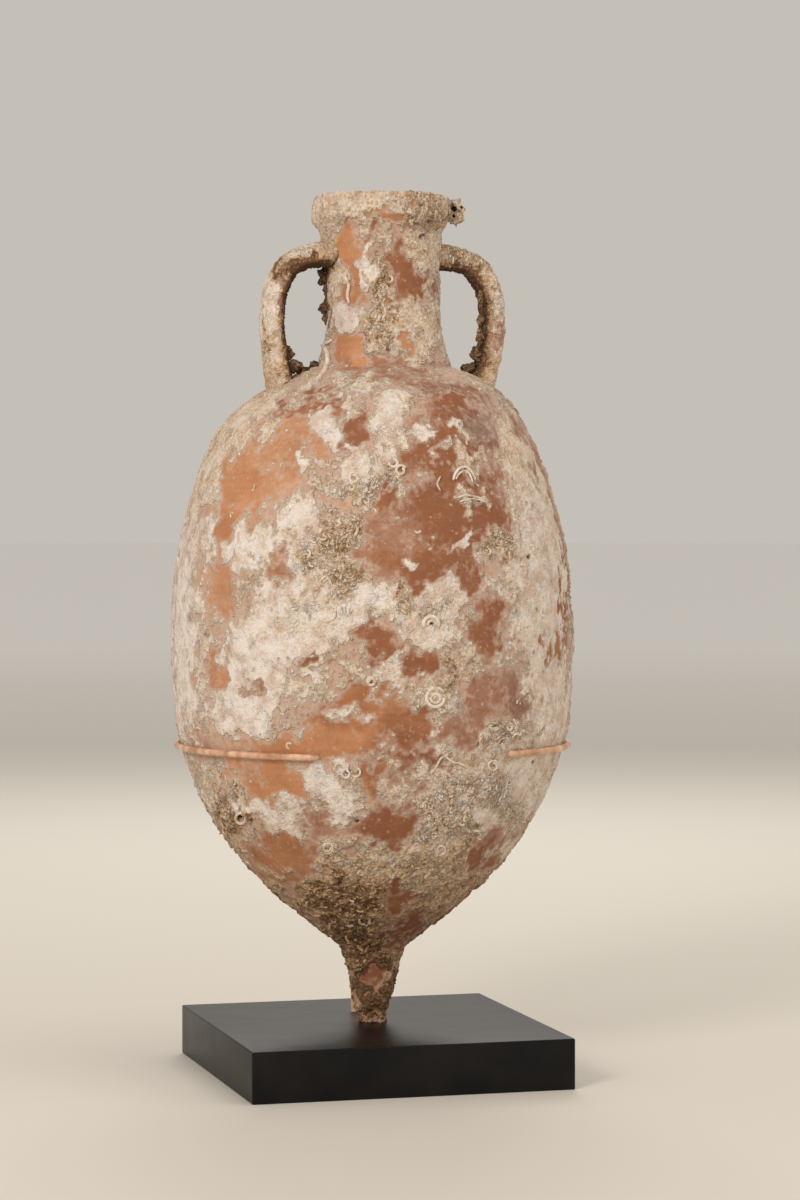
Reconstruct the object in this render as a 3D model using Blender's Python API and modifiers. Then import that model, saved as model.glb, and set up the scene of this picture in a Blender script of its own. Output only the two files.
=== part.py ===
"""Storage amphora in its display cradle: a fired-clay vessel, a bent rod stand and a black base block.

Metres, +Z up. The origin is the centre of the base block's underside, and -Y is the front,
where the cradle's two arms leave their gap. The handles lie in the XZ plane.
"""

import math

import bmesh
import bpy
from mathutils import Vector

# Fits and facets
GAP = 0.0003  # left between pieces that touch
FACETS = 48  # sides of what is turned about the amphora's axis
CUTTER_REACH = 0.02  # how far a cutter runs past the face that it opens

# Base block
BASE_SIDE = 0.330
BASE_THICKNESS = 0.051
BASE_EDGE = 0.0015

# Amphora, zone by zone from the toe up; each zone stands on the one below
TOE_HEIGHT = 0.018
TOE_RADIUS = 0.013
SPIKE_HEIGHT = 0.042
SPIKE_RADIUS = 0.0205
SPIKE_ROOT_RADIUS = 0.027
LOWER_BODY_HEIGHT = 0.325
BELLY_RADIUS = 0.207
UPPER_BODY_HEIGHT = 0.287
NECK_HEIGHT = 0.138
NECK_RADIUS = 0.0585
NECK_FOOT_FLARE = 0.0125
NECK_TOP_FLARE = 0.004
RIM_HEIGHT = 0.0385
RIM_RADIUS = 0.0705
RIM_ROUNDING = 0.007
MOUTH_FLARE = 0.004
BODY_WALL = 0.010
NECK_WALL = 0.0095
FLOOR_THICKNESS = 0.030  # clay over the spike's root, at the middle of the floor
NECK_OFFSET = 0.0085  # the neck was set on a little to one side
BREAK_RISE = 0.004  # the broken end of the spike is higher on the +X side
BREAK_RIPPLE = 0.0012
BREAK_TEETH = 3

# How the radius grows over a zone, as shares of the zone's height and of its growth
LOWER_BODY_CURVE = (
    (0.0, 0.0), (0.05, 0.03), (0.1, 0.13), (0.2, 0.36),
    (0.39, 0.685), (0.58, 0.87), (0.78, 0.976), (1.0, 1.0),
)
UPPER_BODY_CURVE = (
    (0.0, 1.0), (0.26, 0.97), (0.51, 0.867), (0.74, 0.69),
    (0.88, 0.455), (0.95, 0.235), (1.0, 0.0),
)
NECK_FLARE_FADE = 5.0  # how fast the flare at the neck's foot dies away
LEANING_SHOULDER = 0.25  # share of the upper body over which the neck's offset comes in

# Facets between the levels of the clay's outer face
SPIKE_BANDS = 3
LOWER_BODY_BANDS = 14
UPPER_BODY_BANDS = 14
NECK_BANDS = 6
CAVITY_BANDS = 9  # on the lower and on the upper body

# Handles, measured from the neck's own axis
HANDLE_THICKNESS = 0.023
HANDLE_WIDTH = 0.040
LEFT_HANDLE_REACH = 0.1145  # out to the middle of the upright part
RIGHT_HANDLE_REACH = 0.1205
HANDLE_BELOW_RIM = 0.023  # from the rim's lower edge to the middle of the handle's top
HANDLE_ARCH_HEIGHT = 0.072
HANDLE_LEAN_IN = 0.010
HANDLE_FOOT_DEPTH = 0.055  # below the shoulder's top, so that it passes through the wall
HANDLE_SQUARENESS = 2.7
HANDLE_ROOT_SWELL = 0.3  # share by which its ends are thicker than its middle
ARCH_STEPS = 12
UPRIGHT_STEPS = 7

# Cradle: one brazed rod stand, an open ring on a bent post
RING_WIRE_RADIUS = 0.00325
RING_HEIGHT = 0.286  # of the line where it bears on the body, above the toe
LEFT_TIP_ANGLE = math.radians(30)  # from the front, towards -X
RIGHT_TIP_ANGLE = math.radians(27)  # from the front, towards +X
POST_RADIUS = 0.004
POST_SETBACK = 0.072
BRAZE_DEPTH = 0.0015  # how far the ring and the post are let into each other
POST_SOCKET_DEPTH = 0.030
POST_BEND_RADIUS = 0.030
POST_STEPS = 10
BEND_STEPS = 4
TIP_ROUNDING = ((0.0, 0.55), (0.3, 0.85), (1.0, 1.0))  # (wire radii in from the tip, share of radius)


def monotone(curve, share):
    """Value of a monotone cubic through curve's points at share."""
    slopes = [(b[1] - a[1]) / (b[0] - a[0]) for a, b in zip(curve, curve[1:])]
    tangents = [0.0]
    for before, after in zip(slopes, slopes[1:]):
        tangents.append(0.0 if before * after <= 0 else 2 * before * after / (before + after))
    tangents.append(slopes[-1])
    index = max(i for i, point in enumerate(curve[:-1]) if point[0] <= share or i == 0)
    (x0, y0), (x1, y1) = curve[index], curve[index + 1]
    width = x1 - x0
    t = (share - x0) / width
    return (
        y0 * (1 + 2 * t) * (1 - t) ** 2
        + tangents[index] * width * t * (1 - t) ** 2
        + y1 * t * t * (3 - 2 * t)
        + tangents[index + 1] * width * t * t * (t - 1)
    )


SPIKE_BASE = TOE_HEIGHT
BODY_BASE = SPIKE_BASE + SPIKE_HEIGHT
BELLY_LEVEL = BODY_BASE + LOWER_BODY_HEIGHT
NECK_BASE = BELLY_LEVEL + UPPER_BODY_HEIGHT
RIM_BASE = NECK_BASE + NECK_HEIGHT
AMPHORA_HEIGHT = RIM_BASE + RIM_HEIGHT
NECK_BASE_RADIUS = NECK_RADIUS + NECK_FOOT_FLARE
TOE_LEVEL = BASE_THICKNESS + GAP  # world height of the toe's underside
POST_STANDOFF = GAP + 2 * RING_WIRE_RADIUS - BRAZE_DEPTH + POST_RADIUS


def outer_radius(height):
    """Radius of the clay at a height above the toe, from the spike to the rim's lower edge."""
    if height < BODY_BASE:
        share = (height - SPIKE_BASE) / SPIKE_HEIGHT
        return SPIKE_RADIUS + (SPIKE_ROOT_RADIUS - SPIKE_RADIUS) * share**2
    if height < BELLY_LEVEL:
        share = (height - BODY_BASE) / LOWER_BODY_HEIGHT
        growth = BELLY_RADIUS - SPIKE_ROOT_RADIUS
        return SPIKE_ROOT_RADIUS + growth * monotone(LOWER_BODY_CURVE, share)
    if height < NECK_BASE:
        share = (height - BELLY_LEVEL) / UPPER_BODY_HEIGHT
        growth = BELLY_RADIUS - NECK_BASE_RADIUS
        return NECK_BASE_RADIUS + growth * monotone(UPPER_BODY_CURVE, share)
    share = (height - NECK_BASE) / NECK_HEIGHT
    return NECK_RADIUS + NECK_FOOT_FLARE * math.exp(-NECK_FLARE_FADE * share) + NECK_TOP_FLARE * share**3


def off_the_wall(height, distance):
    """(radius, height) of the point that stands this far out from the wall, square to it."""
    step = 0.0005
    slope = (outer_radius(height + step) - outer_radius(height - step)) / (2 * step)
    length = math.hypot(1, slope)
    return outer_radius(height) + distance / length, height - distance * slope / length


def neck_shift(height):
    """How far the clay at a height is shifted along +X, because the neck sits off centre."""
    start = NECK_BASE - UPPER_BODY_HEIGHT * LEANING_SHOULDER
    share = min(1.0, max(0.0, (height - start) / (NECK_BASE - start)))
    return NECK_OFFSET * share * share * (3 - 2 * share)


def levels(low, high, count):
    """count heights spread evenly from low to high, without high itself."""
    return [low + (high - low) * i / count for i in range(count)]


def outer_profile():
    """(radius, height) points of the clay's outer face, from the rim's top to the toe."""
    rim_top = [
        (RIM_RADIUS - RIM_ROUNDING * (1 - math.sin(a)), AMPHORA_HEIGHT - RIM_ROUNDING * (1 - math.cos(a)))
        for a in (0.0, math.pi / 6, math.pi / 3, math.pi / 2)
    ]
    neck_top = outer_radius(RIM_BASE)
    rim_under = [
        (RIM_RADIUS, RIM_BASE + RIM_HEIGHT * 0.4),
        (RIM_RADIUS * 0.4 + neck_top * 0.6, RIM_BASE + RIM_HEIGHT * 0.16),
    ]
    heights = (
        levels(SPIKE_BASE, BODY_BASE, SPIKE_BANDS)
        + levels(BODY_BASE, BELLY_LEVEL, LOWER_BODY_BANDS)
        + levels(BELLY_LEVEL, NECK_BASE, UPPER_BODY_BANDS)
        + levels(NECK_BASE, RIM_BASE, NECK_BANDS)
        + [RIM_BASE]
    )
    wall = [(outer_radius(h), h) for h in reversed(heights)]
    toe = [(TOE_RADIUS, TOE_HEIGHT), (TOE_RADIUS, 0.0), (0.0, 0.0)]
    return [(0.0, AMPHORA_HEIGHT), *rim_top, *rim_under, *wall, *toe]


def cavity_profile():
    """(radius, height) points of the hollow inside, from above the mouth to the floor."""
    bore = NECK_RADIUS - NECK_WALL
    mouth = bore + MOUTH_FLARE
    neck = [
        (mouth, AMPHORA_HEIGHT + CUTTER_REACH),
        (mouth, AMPHORA_HEIGHT - RIM_ROUNDING),
        (bore, RIM_BASE),
        (bore, NECK_BASE + NECK_HEIGHT / 3),
    ]
    floor = BODY_BASE + FLOOR_THICKNESS
    heights = (
        levels(floor, BELLY_LEVEL, CAVITY_BANDS)
        + levels(BELLY_LEVEL, NECK_BASE, CAVITY_BANDS)
        + [NECK_BASE]
    )
    inside = [off_the_wall(h, -BODY_WALL) for h in reversed(heights)]
    body = [point for point in inside if point[1] > floor + BODY_WALL]
    floor_edge = (body[-1][0] * 0.55, floor + BODY_WALL * 0.35)
    return [(0.0, AMPHORA_HEIGHT + CUTTER_REACH), *neck, *body, floor_edge, (0.0, floor)]


def collection(name):
    made = bpy.data.collections.new(name)
    bpy.context.scene.collection.children.link(made)
    return made


def clear_scene():
    for obj in list(bpy.data.objects):
        bpy.data.objects.remove(obj, do_unlink=True)


def material(name, colour, roughness, metallic=0.0):
    made = bpy.data.materials.new(name)
    made.use_nodes = True
    shader = made.node_tree.nodes["Principled BSDF"]
    shader.inputs["Base Color"].default_value = (*colour, 1.0)
    shader.inputs["Roughness"].default_value = roughness
    shader.inputs["Metallic"].default_value = metallic
    return made


def add_object(name, data, home):
    obj = bpy.data.objects.new(name, data)
    home.objects.link(obj)
    return obj


def as_mesh(obj, home):
    """Replaces obj by a mesh object of its evaluated, welded shape, its place kept in the mesh."""
    bpy.context.view_layer.update()
    graph = bpy.context.evaluated_depsgraph_get()
    mesh = bpy.data.meshes.new_from_object(obj.evaluated_get(graph))
    mesh.transform(obj.matrix_world)
    name = obj.name
    bpy.data.objects.remove(obj, do_unlink=True)
    weld = bmesh.new()
    weld.from_mesh(mesh)
    bmesh.ops.remove_doubles(weld, verts=weld.verts, dist=0.00001)
    bmesh.ops.recalc_face_normals(weld, faces=weld.faces)
    weld.to_mesh(mesh)
    weld.free()
    return add_object(name, mesh, home)


def turned(name, profile, home):
    """A body turned about the amphora's axis from (radius, height) points, top to bottom."""
    mesh = bpy.data.meshes.new(name)
    points = [(radius, 0.0, TOE_LEVEL + height) for radius, height in profile]
    mesh.from_pydata(points, [(i, i + 1) for i in range(len(points) - 1)], [])
    obj = add_object(name, mesh, home)
    screw = obj.modifiers.new("Turn", "SCREW")
    screw.angle = 2 * math.pi
    screw.steps = screw.render_steps = FACETS
    screw.use_merge_vertices = True
    screw.merge_threshold = 0.00001
    obj = as_mesh(obj, home)
    for vertex in obj.data.vertices:
        vertex.co.x += neck_shift(vertex.co.z - TOE_LEVEL)
    return obj


def rod(name, points, radius, home, swells=None, sides=8):
    """A rod of round section along points, with closed ends."""
    curve = bpy.data.curves.new(name, "CURVE")
    curve.dimensions = "3D"
    curve.bevel_depth = radius
    curve.bevel_resolution = (sides - 4) // 2
    curve.use_fill_caps = True
    spline = curve.splines.new("POLY")
    spline.points.add(len(points) - 1)
    for index, (point, place) in enumerate(zip(spline.points, points)):
        point.co = (*place, 1.0)
        point.radius = swells[index] if swells else 1.0
    return add_object(name, curve, home)


def hide_as_cutter(obj):
    obj.hide_render = True
    obj.display_type = "WIRE"


def boolean(obj, other, operation):
    modifier = obj.modifiers.new(f"{operation.title()} {other.name}", "BOOLEAN")
    modifier.object = other
    modifier.operation = operation
    modifier.solver = "EXACT"
    hide_as_cutter(other)


def smooth(obj, angle):
    obj.data.shade_smooth()
    obj.data.set_sharp_from_angle(angle=math.radians(angle))


def make_base_block(home, cutters):
    base_mesh = bpy.data.meshes.new("base_block")
    cube = bmesh.new()
    bmesh.ops.create_cube(cube, size=1.0)
    bmesh.ops.scale(cube, vec=(BASE_SIDE, BASE_SIDE, BASE_THICKNESS), verts=cube.verts)
    bmesh.ops.translate(cube, vec=(0.0, 0.0, BASE_THICKNESS / 2), verts=cube.verts)
    cube.to_mesh(base_mesh)
    cube.free()
    base = add_object("base_block", base_mesh, home)
    edge = base.modifiers.new("Eased edges", "BEVEL")
    edge.width = BASE_EDGE
    edge.segments = 2
    boolean(base, make_post_socket(cutters), "DIFFERENCE")
    base.data.materials.append(material("ebonised wood", (0.012, 0.011, 0.011), 0.32))


def make_post_socket(cutters):
    """The blind hole that holds the foot of the cradle's post."""
    depth = POST_SOCKET_DEPTH + GAP
    mesh = bpy.data.meshes.new("post_socket")
    hole = bmesh.new()
    bmesh.ops.create_cone(
        hole,
        cap_ends=True,
        segments=24,
        radius1=POST_RADIUS + GAP,
        radius2=POST_RADIUS + GAP,
        depth=depth + CUTTER_REACH,
    )
    middle = BASE_THICKNESS - depth + (depth + CUTTER_REACH) / 2
    bmesh.ops.translate(hole, vec=(0.0, POST_SETBACK, middle), verts=hole.verts)
    hole.to_mesh(mesh)
    hole.free()
    return add_object("post_socket", mesh, cutters)


def handle_path(reach):
    """(outward, height) points of a handle's middle line, from the neck over to the shoulder."""
    top = RIM_BASE - HANDLE_BELOW_RIM
    root = NECK_RADIUS - 2 * NECK_WALL
    arch = []
    power = 2 / HANDLE_SQUARENESS
    for index in range(ARCH_STEPS + 1):
        turn = math.pi / 2 * index / ARCH_STEPS
        out = root + (reach - root) * math.sin(turn) ** power
        up = top - HANDLE_ARCH_HEIGHT * (1 - math.cos(turn) ** power)
        arch.append((out, up))
    start = top - HANDLE_ARCH_HEIGHT
    end = NECK_BASE - HANDLE_FOOT_DEPTH
    upright = []
    for index in range(1, UPRIGHT_STEPS + 1):
        share = index / UPRIGHT_STEPS
        upright.append((reach - HANDLE_LEAN_IN * share**2, start + (end - start) * share))
    return arch + upright


def make_handle(name, side, reach, cutters):
    """A strap handle of oval section; side is 1 towards +X and -1 towards -X."""
    points = [(side * out, 0.0, TOE_LEVEL + up) for out, up in handle_path(reach)]
    last = len(points) - 1
    from_middle = [abs(2 * index / last - 1) for index in range(last + 1)]
    swells = [1 + HANDLE_ROOT_SWELL * distance**4 for distance in from_middle]
    handle = rod(name, points, HANDLE_THICKNESS / 2, cutters, swells, sides=16)
    handle.scale.y = HANDLE_WIDTH / HANDLE_THICKNESS
    handle.location.x = NECK_OFFSET
    return as_mesh(handle, cutters)


def break_the_spike(vessel):
    """Makes the spike's broken end uneven round the toe that stands out of it."""
    for vertex in vessel.data.vertices:
        at_step = abs(vertex.co.z - TOE_LEVEL - SPIKE_BASE) < 0.0001
        if at_step and math.hypot(vertex.co.x, vertex.co.y) > (TOE_RADIUS + SPIKE_RADIUS) / 2:
            angle = math.atan2(vertex.co.y, vertex.co.x)
            vertex.co.z += BREAK_RISE * math.cos(angle) + BREAK_RIPPLE * math.sin(BREAK_TEETH * angle)


def make_amphora(home, cutters):
    vessel = turned("amphora", outer_profile(), home)
    break_the_spike(vessel)
    boolean(vessel, make_handle("left_handle", -1, LEFT_HANDLE_REACH, cutters), "UNION")
    boolean(vessel, make_handle("right_handle", 1, RIGHT_HANDLE_REACH, cutters), "UNION")
    boolean(vessel, turned("cavity", cavity_profile(), cutters), "DIFFERENCE")
    smooth(vessel, 40)
    vessel.data.materials.append(material("fired clay", (0.42, 0.24, 0.15), 0.85))


def ring_points():
    """The ring's middle line, from the tip on the +X side round the back to the tip on the -X side."""
    radius, height = off_the_wall(RING_HEIGHT, RING_WIRE_RADIUS + GAP)
    first = -math.pi / 2 + RIGHT_TIP_ANGLE
    last = 3 * math.pi / 2 - LEFT_TIP_ANGLE
    step = 2 * math.pi / FACETS
    facets = [n * step for n in range(math.ceil(first / step), math.floor(last / step) + 1)]
    tip = RING_WIRE_RADIUS / radius
    between = [angle for angle in facets if first + 2 * tip < angle < last - 2 * tip]
    rounding = [tip * along for along, _ in TIP_ROUNDING]
    angles = [first + r for r in rounding] + between + [last - r for r in reversed(rounding)]
    return [(radius * math.cos(a), radius * math.sin(a), TOE_LEVEL + height) for a in angles]


def rounded_corner(before, corner, after, radius):
    """Points of a bend of about this radius in place of the corner between two straight runs."""
    back = (before - corner).normalized()
    on = (after - corner).normalized()
    half = back.angle(on) / 2
    cut = min(radius / math.tan(half), (before - corner).length / 2, (after - corner).length / 2)
    start = corner + back * cut
    end = corner + on * cut
    shares = [index / BEND_STEPS for index in range(BEND_STEPS + 1)]
    return [start * (1 - t) ** 2 + corner * 2 * t * (1 - t) + end * t * t for t in shares]


def post_points():
    """The post's middle line: up out of the base, then out and up behind the body to the ring."""
    low, high = BODY_BASE, RING_HEIGHT
    for _ in range(40):
        middle = (low + high) / 2
        if off_the_wall(middle, POST_STANDOFF)[0] < POST_SETBACK:
            low = middle
        else:
            high = middle
    meets = low
    rise = RING_HEIGHT + POST_RADIUS - meets
    shares = [index / POST_STEPS for index in range(1, POST_STEPS + 1)]
    along = [off_the_wall(meets + rise * share, POST_STANDOFF) for share in shares]
    foot = Vector((0.0, POST_SETBACK, BASE_THICKNESS - POST_SOCKET_DEPTH))
    corner = Vector((0.0, POST_SETBACK, TOE_LEVEL + off_the_wall(meets, POST_STANDOFF)[1]))
    slope = [Vector((0.0, radius, TOE_LEVEL + height)) for radius, height in along]
    bend = rounded_corner(foot, corner, slope[1], POST_BEND_RADIUS)
    return [foot, *bend, *slope[2:]]


def make_cradle(home, cutters):
    points = ring_points()
    tip = [share for _, share in TIP_ROUNDING]
    swells = tip + [1.0] * (len(points) - 2 * len(tip)) + tip[::-1]
    ring = as_mesh(rod("cradle", points, RING_WIRE_RADIUS, home, swells, sides=10), home)
    post = as_mesh(rod("post", post_points(), POST_RADIUS, cutters, sides=12), cutters)
    boolean(ring, post, "UNION")
    smooth(ring, 50)
    ring.data.materials.append(material("toned brass rod", (0.55, 0.36, 0.24), 0.45))


def main():
    clear_scene()
    home = collection("storage_amphora")
    cutters = collection("cutters")
    make_base_block(home, cutters)
    make_amphora(home, cutters)
    make_cradle(home, cutters)


main()
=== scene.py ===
"""Looks of a storage amphora that lay on the sea bed, in its rod cradle on a black base block.

Metres, +Z up. The origin is the centre of the block's underside, -Y is the front, and the handles lie in
the XZ plane. Heights on the vessel are counted from its toe.
"""

import logging
import math
from dataclasses import dataclass, field
from enum import Enum

import bmesh
import bpy
import numpy as np
from bmesh.types import BMesh
from bpy.types import (Camera, GeometryNodeTree, Light, Material, Mesh, Node, NodeOutputs, NodeSocket,
                       NodeTree, Object)
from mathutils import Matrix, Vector

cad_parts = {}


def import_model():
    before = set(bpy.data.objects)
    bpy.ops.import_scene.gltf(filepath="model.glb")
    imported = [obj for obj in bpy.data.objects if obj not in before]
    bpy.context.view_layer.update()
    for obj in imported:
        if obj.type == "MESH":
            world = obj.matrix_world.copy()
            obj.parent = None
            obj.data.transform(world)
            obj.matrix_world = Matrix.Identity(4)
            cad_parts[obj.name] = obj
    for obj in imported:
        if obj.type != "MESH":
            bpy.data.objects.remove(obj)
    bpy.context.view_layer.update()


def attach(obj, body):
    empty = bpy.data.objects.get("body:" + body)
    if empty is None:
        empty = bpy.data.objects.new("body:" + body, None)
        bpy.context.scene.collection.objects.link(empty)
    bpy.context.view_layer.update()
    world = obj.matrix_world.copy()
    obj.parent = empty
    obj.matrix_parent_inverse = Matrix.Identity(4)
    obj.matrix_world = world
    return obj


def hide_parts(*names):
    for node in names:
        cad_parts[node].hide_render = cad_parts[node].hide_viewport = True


log = logging.getLogger("amphora")

MM = 0.001
TOE_LEVEL = 0.0513  # the toe's underside stands on the block, a hair above its top
# the hollow field holds painted shade: in holes and slits, on dark lumps and on the handles' inner sides
FINISH_FIELDS = ("cover", "tone", "relief", "clay", "hollow")

# Kinds of node. Map Range takes a value and then a Span.
MATH, VECTOR, MIX, RANGE = "ShaderNodeMath", "ShaderNodeVectorMath", "ShaderNodeMix", "ShaderNodeMapRange"
NOISE, CELLS = "ShaderNodeTexNoise", "ShaderNodeTexVoronoi"
RAMP, BUMP = "ShaderNodeValToRGB", "ShaderNodeBump"
SHADER, SURFACE, PLACE = "ShaderNodeBsdfPrincipled", "ShaderNodeOutputMaterial", "ShaderNodeTexCoord"
RANDOM, TURN = "FunctionNodeRandomValue", "FunctionNodeRotateRotation"
AXIS_TURN = "FunctionNodeAxisAngleToRotation"

Span = tuple[float, float, float, float]  # where a range starts and ends, and what it gives there
Line = np.ndarray | list[tuple[float, float]]
Tube = tuple[np.ndarray, list[np.ndarray]]  # vertices and faces


def linear(hex_colour: str) -> tuple[float, float, float, float]:
    """Turns an sRGB hex colour into linear light.

    Args:
        hex_colour: Six hex digits after a hash.

    Returns:
        Red, green, blue and an alpha of one.
    """
    channels = [int(hex_colour[i:i + 2], 16) / 255 for i in (1, 3, 5)]
    light = [c / 12.92 if c <= 0.04045 else ((c + 0.055) / 1.055) ** 2.4 for c in channels]
    return (*light, 1.0)


def add_node(tree: NodeTree, kind: str, inputs: dict | tuple = (), out: int = 0, stops: tuple = (),
             **settings: object) -> NodeSocket | Node:
    """Adds one node to a tree, with its settings, its values and the links into it.

    Args:
        tree: The node tree.
        kind: The node's type name.
        inputs: Values, or the sockets that feed them, in order or by the socket's name or number.
        out: Number of the output to return.
        stops: (place, hex colour) pairs in rising order, for a colour ramp.
        **settings: Properties of the node.

    Returns:
        The chosen output socket, or the node itself where it has none.
    """
    node = tree.nodes.new(kind)
    for name, value in settings.items():
        setattr(node, name, value)
    for key, value in inputs.items() if isinstance(inputs, dict) else enumerate(inputs):
        if isinstance(value, NodeSocket):
            tree.links.new(value, node.inputs[key])
        else:
            node.inputs[key].default_value = value
    for place, _ in stops[1:-1]:
        node.color_ramp.elements.new(place)
    for i, (place, hex_colour) in enumerate(stops):
        node.color_ramp.elements[i].position = place
        node.color_ramp.elements[i].color = linear(hex_colour)
    return node.outputs[out] if len(node.outputs) else node


def smoothstep(low: float, high: float, value: np.ndarray) -> np.ndarray:
    """Smooth rise from 0 at low to 1 at high."""
    share = np.clip((value - low) / (high - low), 0.0, 1.0)
    return share * share * (3 - 2 * share)


def wobble(points: np.ndarray, size: float, seed: int, count: int = 14) -> np.ndarray:
    """Smooth, repeatable unevenness: waves that cross in all directions.

    Args:
        points: Rows of x, y and z.
        size: About the distance from crest to crest.
        seed: Picks the waves.
        count: How many waves.

    Returns:
        A value for each point, about zero and mostly within two.
    """
    chance = np.random.default_rng(seed)
    way = chance.normal(size=(3, count))
    way *= chance.uniform(0.7, 1.5, count) / np.linalg.norm(way, axis=0)
    phase = chance.uniform(0, 2 * math.pi, count)
    return np.sin(points @ way * (2 * math.pi / size) + phase).sum(axis=1) * math.sqrt(2 / count)


def monotone(curve: tuple, share: np.ndarray) -> np.ndarray:
    """Monotone cubic through a curve's points.

    Args:
        curve: (share, value) points in rising order.
        share: Where to read it.

    Returns:
        The values there.
    """
    x, y = np.array(curve, float).T
    slope = np.diff(y) / np.diff(x)
    tangent = np.zeros(len(x))
    both = slope[:-1] * slope[1:]
    total = slope[:-1] + slope[1:]
    tangent[1:-1] = np.where(both > 0, 2 * both / np.where(total == 0, 1, total), 0.0)
    tangent[-1] = slope[-1]
    i = np.clip(np.searchsorted(x, share, side="right") - 1, 0, len(x) - 2)
    width = x[i + 1] - x[i]
    t = (share - x[i]) / width
    return (
        y[i] * (1 + 2 * t) * (1 - t) ** 2
        + tangent[i] * width * t * (1 - t) ** 2
        + y[i + 1] * t * t * (3 - 2 * t)
        + tangent[i + 1] * width * t * t * (t - 1)
    )


def spread(line: Line, spacing: float = 1.0, count: int = 0) -> np.ndarray:
    """Points spread evenly along a polyline, both ends kept.

    Args:
        line: The line's corners, two numbers each.
        spacing: About how far apart the new points lie.
        count: How many there are, instead of the spacing.

    Returns:
        The new points, one row each.
    """
    line = np.array(line, float)
    along = np.concatenate([[0.0], np.cumsum(np.hypot(*np.diff(line, axis=0).T))])
    at = np.linspace(0.0, along[-1], count or max(2, round(along[-1] / spacing) + 1))
    return np.column_stack([np.interp(at, along, line[:, 0]), np.interp(at, along, line[:, 1])])


def rounded(line: np.ndarray, times: int) -> np.ndarray:
    """A line with its corners rounded off, its ends kept."""
    for _ in range(times):
        line[1:-1] = (line[:-2] + 2 * line[1:-1] + line[2:]) / 4
    return line


def tube_faces(rings: int, sides: int) -> list[np.ndarray]:
    """Quads along a tube and a fan over each end, whose middles are the last two vertices."""
    start = np.arange(rings - 1)[:, None] * sides
    j = np.arange(sides)
    k = (j + 1) % sides
    quads = np.stack([start + j, start + k, start + sides + k, start + sides + j], axis=-1).reshape(-1, 4)
    last = (rings - 1) * sides
    near = np.column_stack([np.full(sides, rings * sides), k, j])
    far = np.column_stack([np.full(sides, rings * sides + 1), last + j, last + k])
    return [quads, near, far]


def sweep(points: np.ndarray, radii: np.ndarray, sides: int) -> Tube:
    """A round tube along a line, closed at both ends.

    Args:
        points: The middle line.
        radii: The tube's radius at each point.
        sides: Number of facets round it.

    Returns:
        Vertices and faces.
    """
    tangent = np.gradient(points, axis=0)
    tangent /= np.linalg.norm(tangent, axis=1)[:, None]
    across = np.cross(tangent[0], [0.0, 0.0, 1.0])
    if np.linalg.norm(across) < 0.1:
        across = np.cross(tangent[0], [1.0, 0.0, 0.0])
    rings = []
    turn = np.arange(sides) * 2 * math.pi / sides
    for place, along, radius in zip(points, tangent, radii):
        across = across - along * (across @ along)
        across /= np.linalg.norm(across)
        other = np.cross(along, across)
        rings.append(place + radius * (np.outer(np.cos(turn), across) + np.outer(np.sin(turn), other)))
    return np.concatenate([*rings, points[:1], points[-1:]]), tube_faces(len(points), sides)


def new_mesh(name: str, points: np.ndarray, faces: list[np.ndarray]) -> Mesh:
    """Makes a smooth-shaded mesh from arrays.

    Args:
        name: The mesh's name.
        points: One row a vertex.
        faces: Arrays of triangles or quads, as vertex numbers.

    Returns:
        The mesh.
    """
    mesh = bpy.data.meshes.new(name)
    mesh.vertices.add(len(points))
    mesh.vertices.foreach_set("co", np.asarray(points, np.float32).ravel())
    corners = np.concatenate([f.ravel() for f in faces]).astype(np.int32)
    sizes = np.concatenate([np.full(len(f), f.shape[1]) for f in faces])
    mesh.loops.add(len(corners))
    mesh.loops.foreach_set("vertex_index", corners)
    mesh.polygons.add(len(sizes))
    mesh.polygons.foreach_set("loop_start", np.concatenate([[0], np.cumsum(sizes)[:-1]]).astype(np.int32))
    mesh.update(calc_edges=True)
    mesh.validate()
    mesh.shade_smooth()
    return mesh


def write_fields(mesh: Mesh, fields: dict[str, np.ndarray]) -> None:
    """Stores one number or one vector for each vertex, as an attribute for each named field."""
    for name, values in fields.items():
        kind, key = ("FLOAT_VECTOR", "vector") if values.ndim == 2 else ("FLOAT", "value")
        attribute = mesh.attributes.new(name, kind, "POINT")
        attribute.data.foreach_set(key, np.asarray(values, np.float32).ravel())


def read_rows(mesh: Mesh, key: str) -> np.ndarray:
    """The vertices' places, for "co", or directions, for "normal", one row each."""
    rows = np.zeros(len(mesh.vertices) * 3, np.float32)
    mesh.vertices.foreach_get(key, rows)
    return rows.reshape(-1, 3)


def mesh_from(work: BMesh, name: str) -> Mesh:
    """Makes a mesh of an edit mesh, which is freed."""
    mesh = bpy.data.meshes.new(name)
    work.to_mesh(mesh)
    work.free()
    return mesh


def face_outwards(mesh: Mesh) -> None:
    """Turns a closed mesh's faces outwards."""
    work = bmesh.new()
    work.from_mesh(mesh)
    bmesh.ops.recalc_face_normals(work, faces=work.faces)
    work.to_mesh(mesh)
    work.free()


def add_object(name: str, data: Mesh | Camera | Light) -> Object:
    """Links a new object at the origin."""
    obj = bpy.data.objects.new(name, data)
    bpy.context.scene.collection.objects.link(obj)
    return obj


def baked(obj: Object) -> Mesh:
    """The object's mesh as its modifiers leave it; the object itself is removed."""
    bpy.context.view_layer.update()
    graph = bpy.context.evaluated_depsgraph_get()
    mesh = bpy.data.meshes.new_from_object(obj.evaluated_get(graph), depsgraph=graph)
    mesh.name = obj.name
    bpy.data.objects.remove(obj, do_unlink=True)
    return mesh


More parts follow.
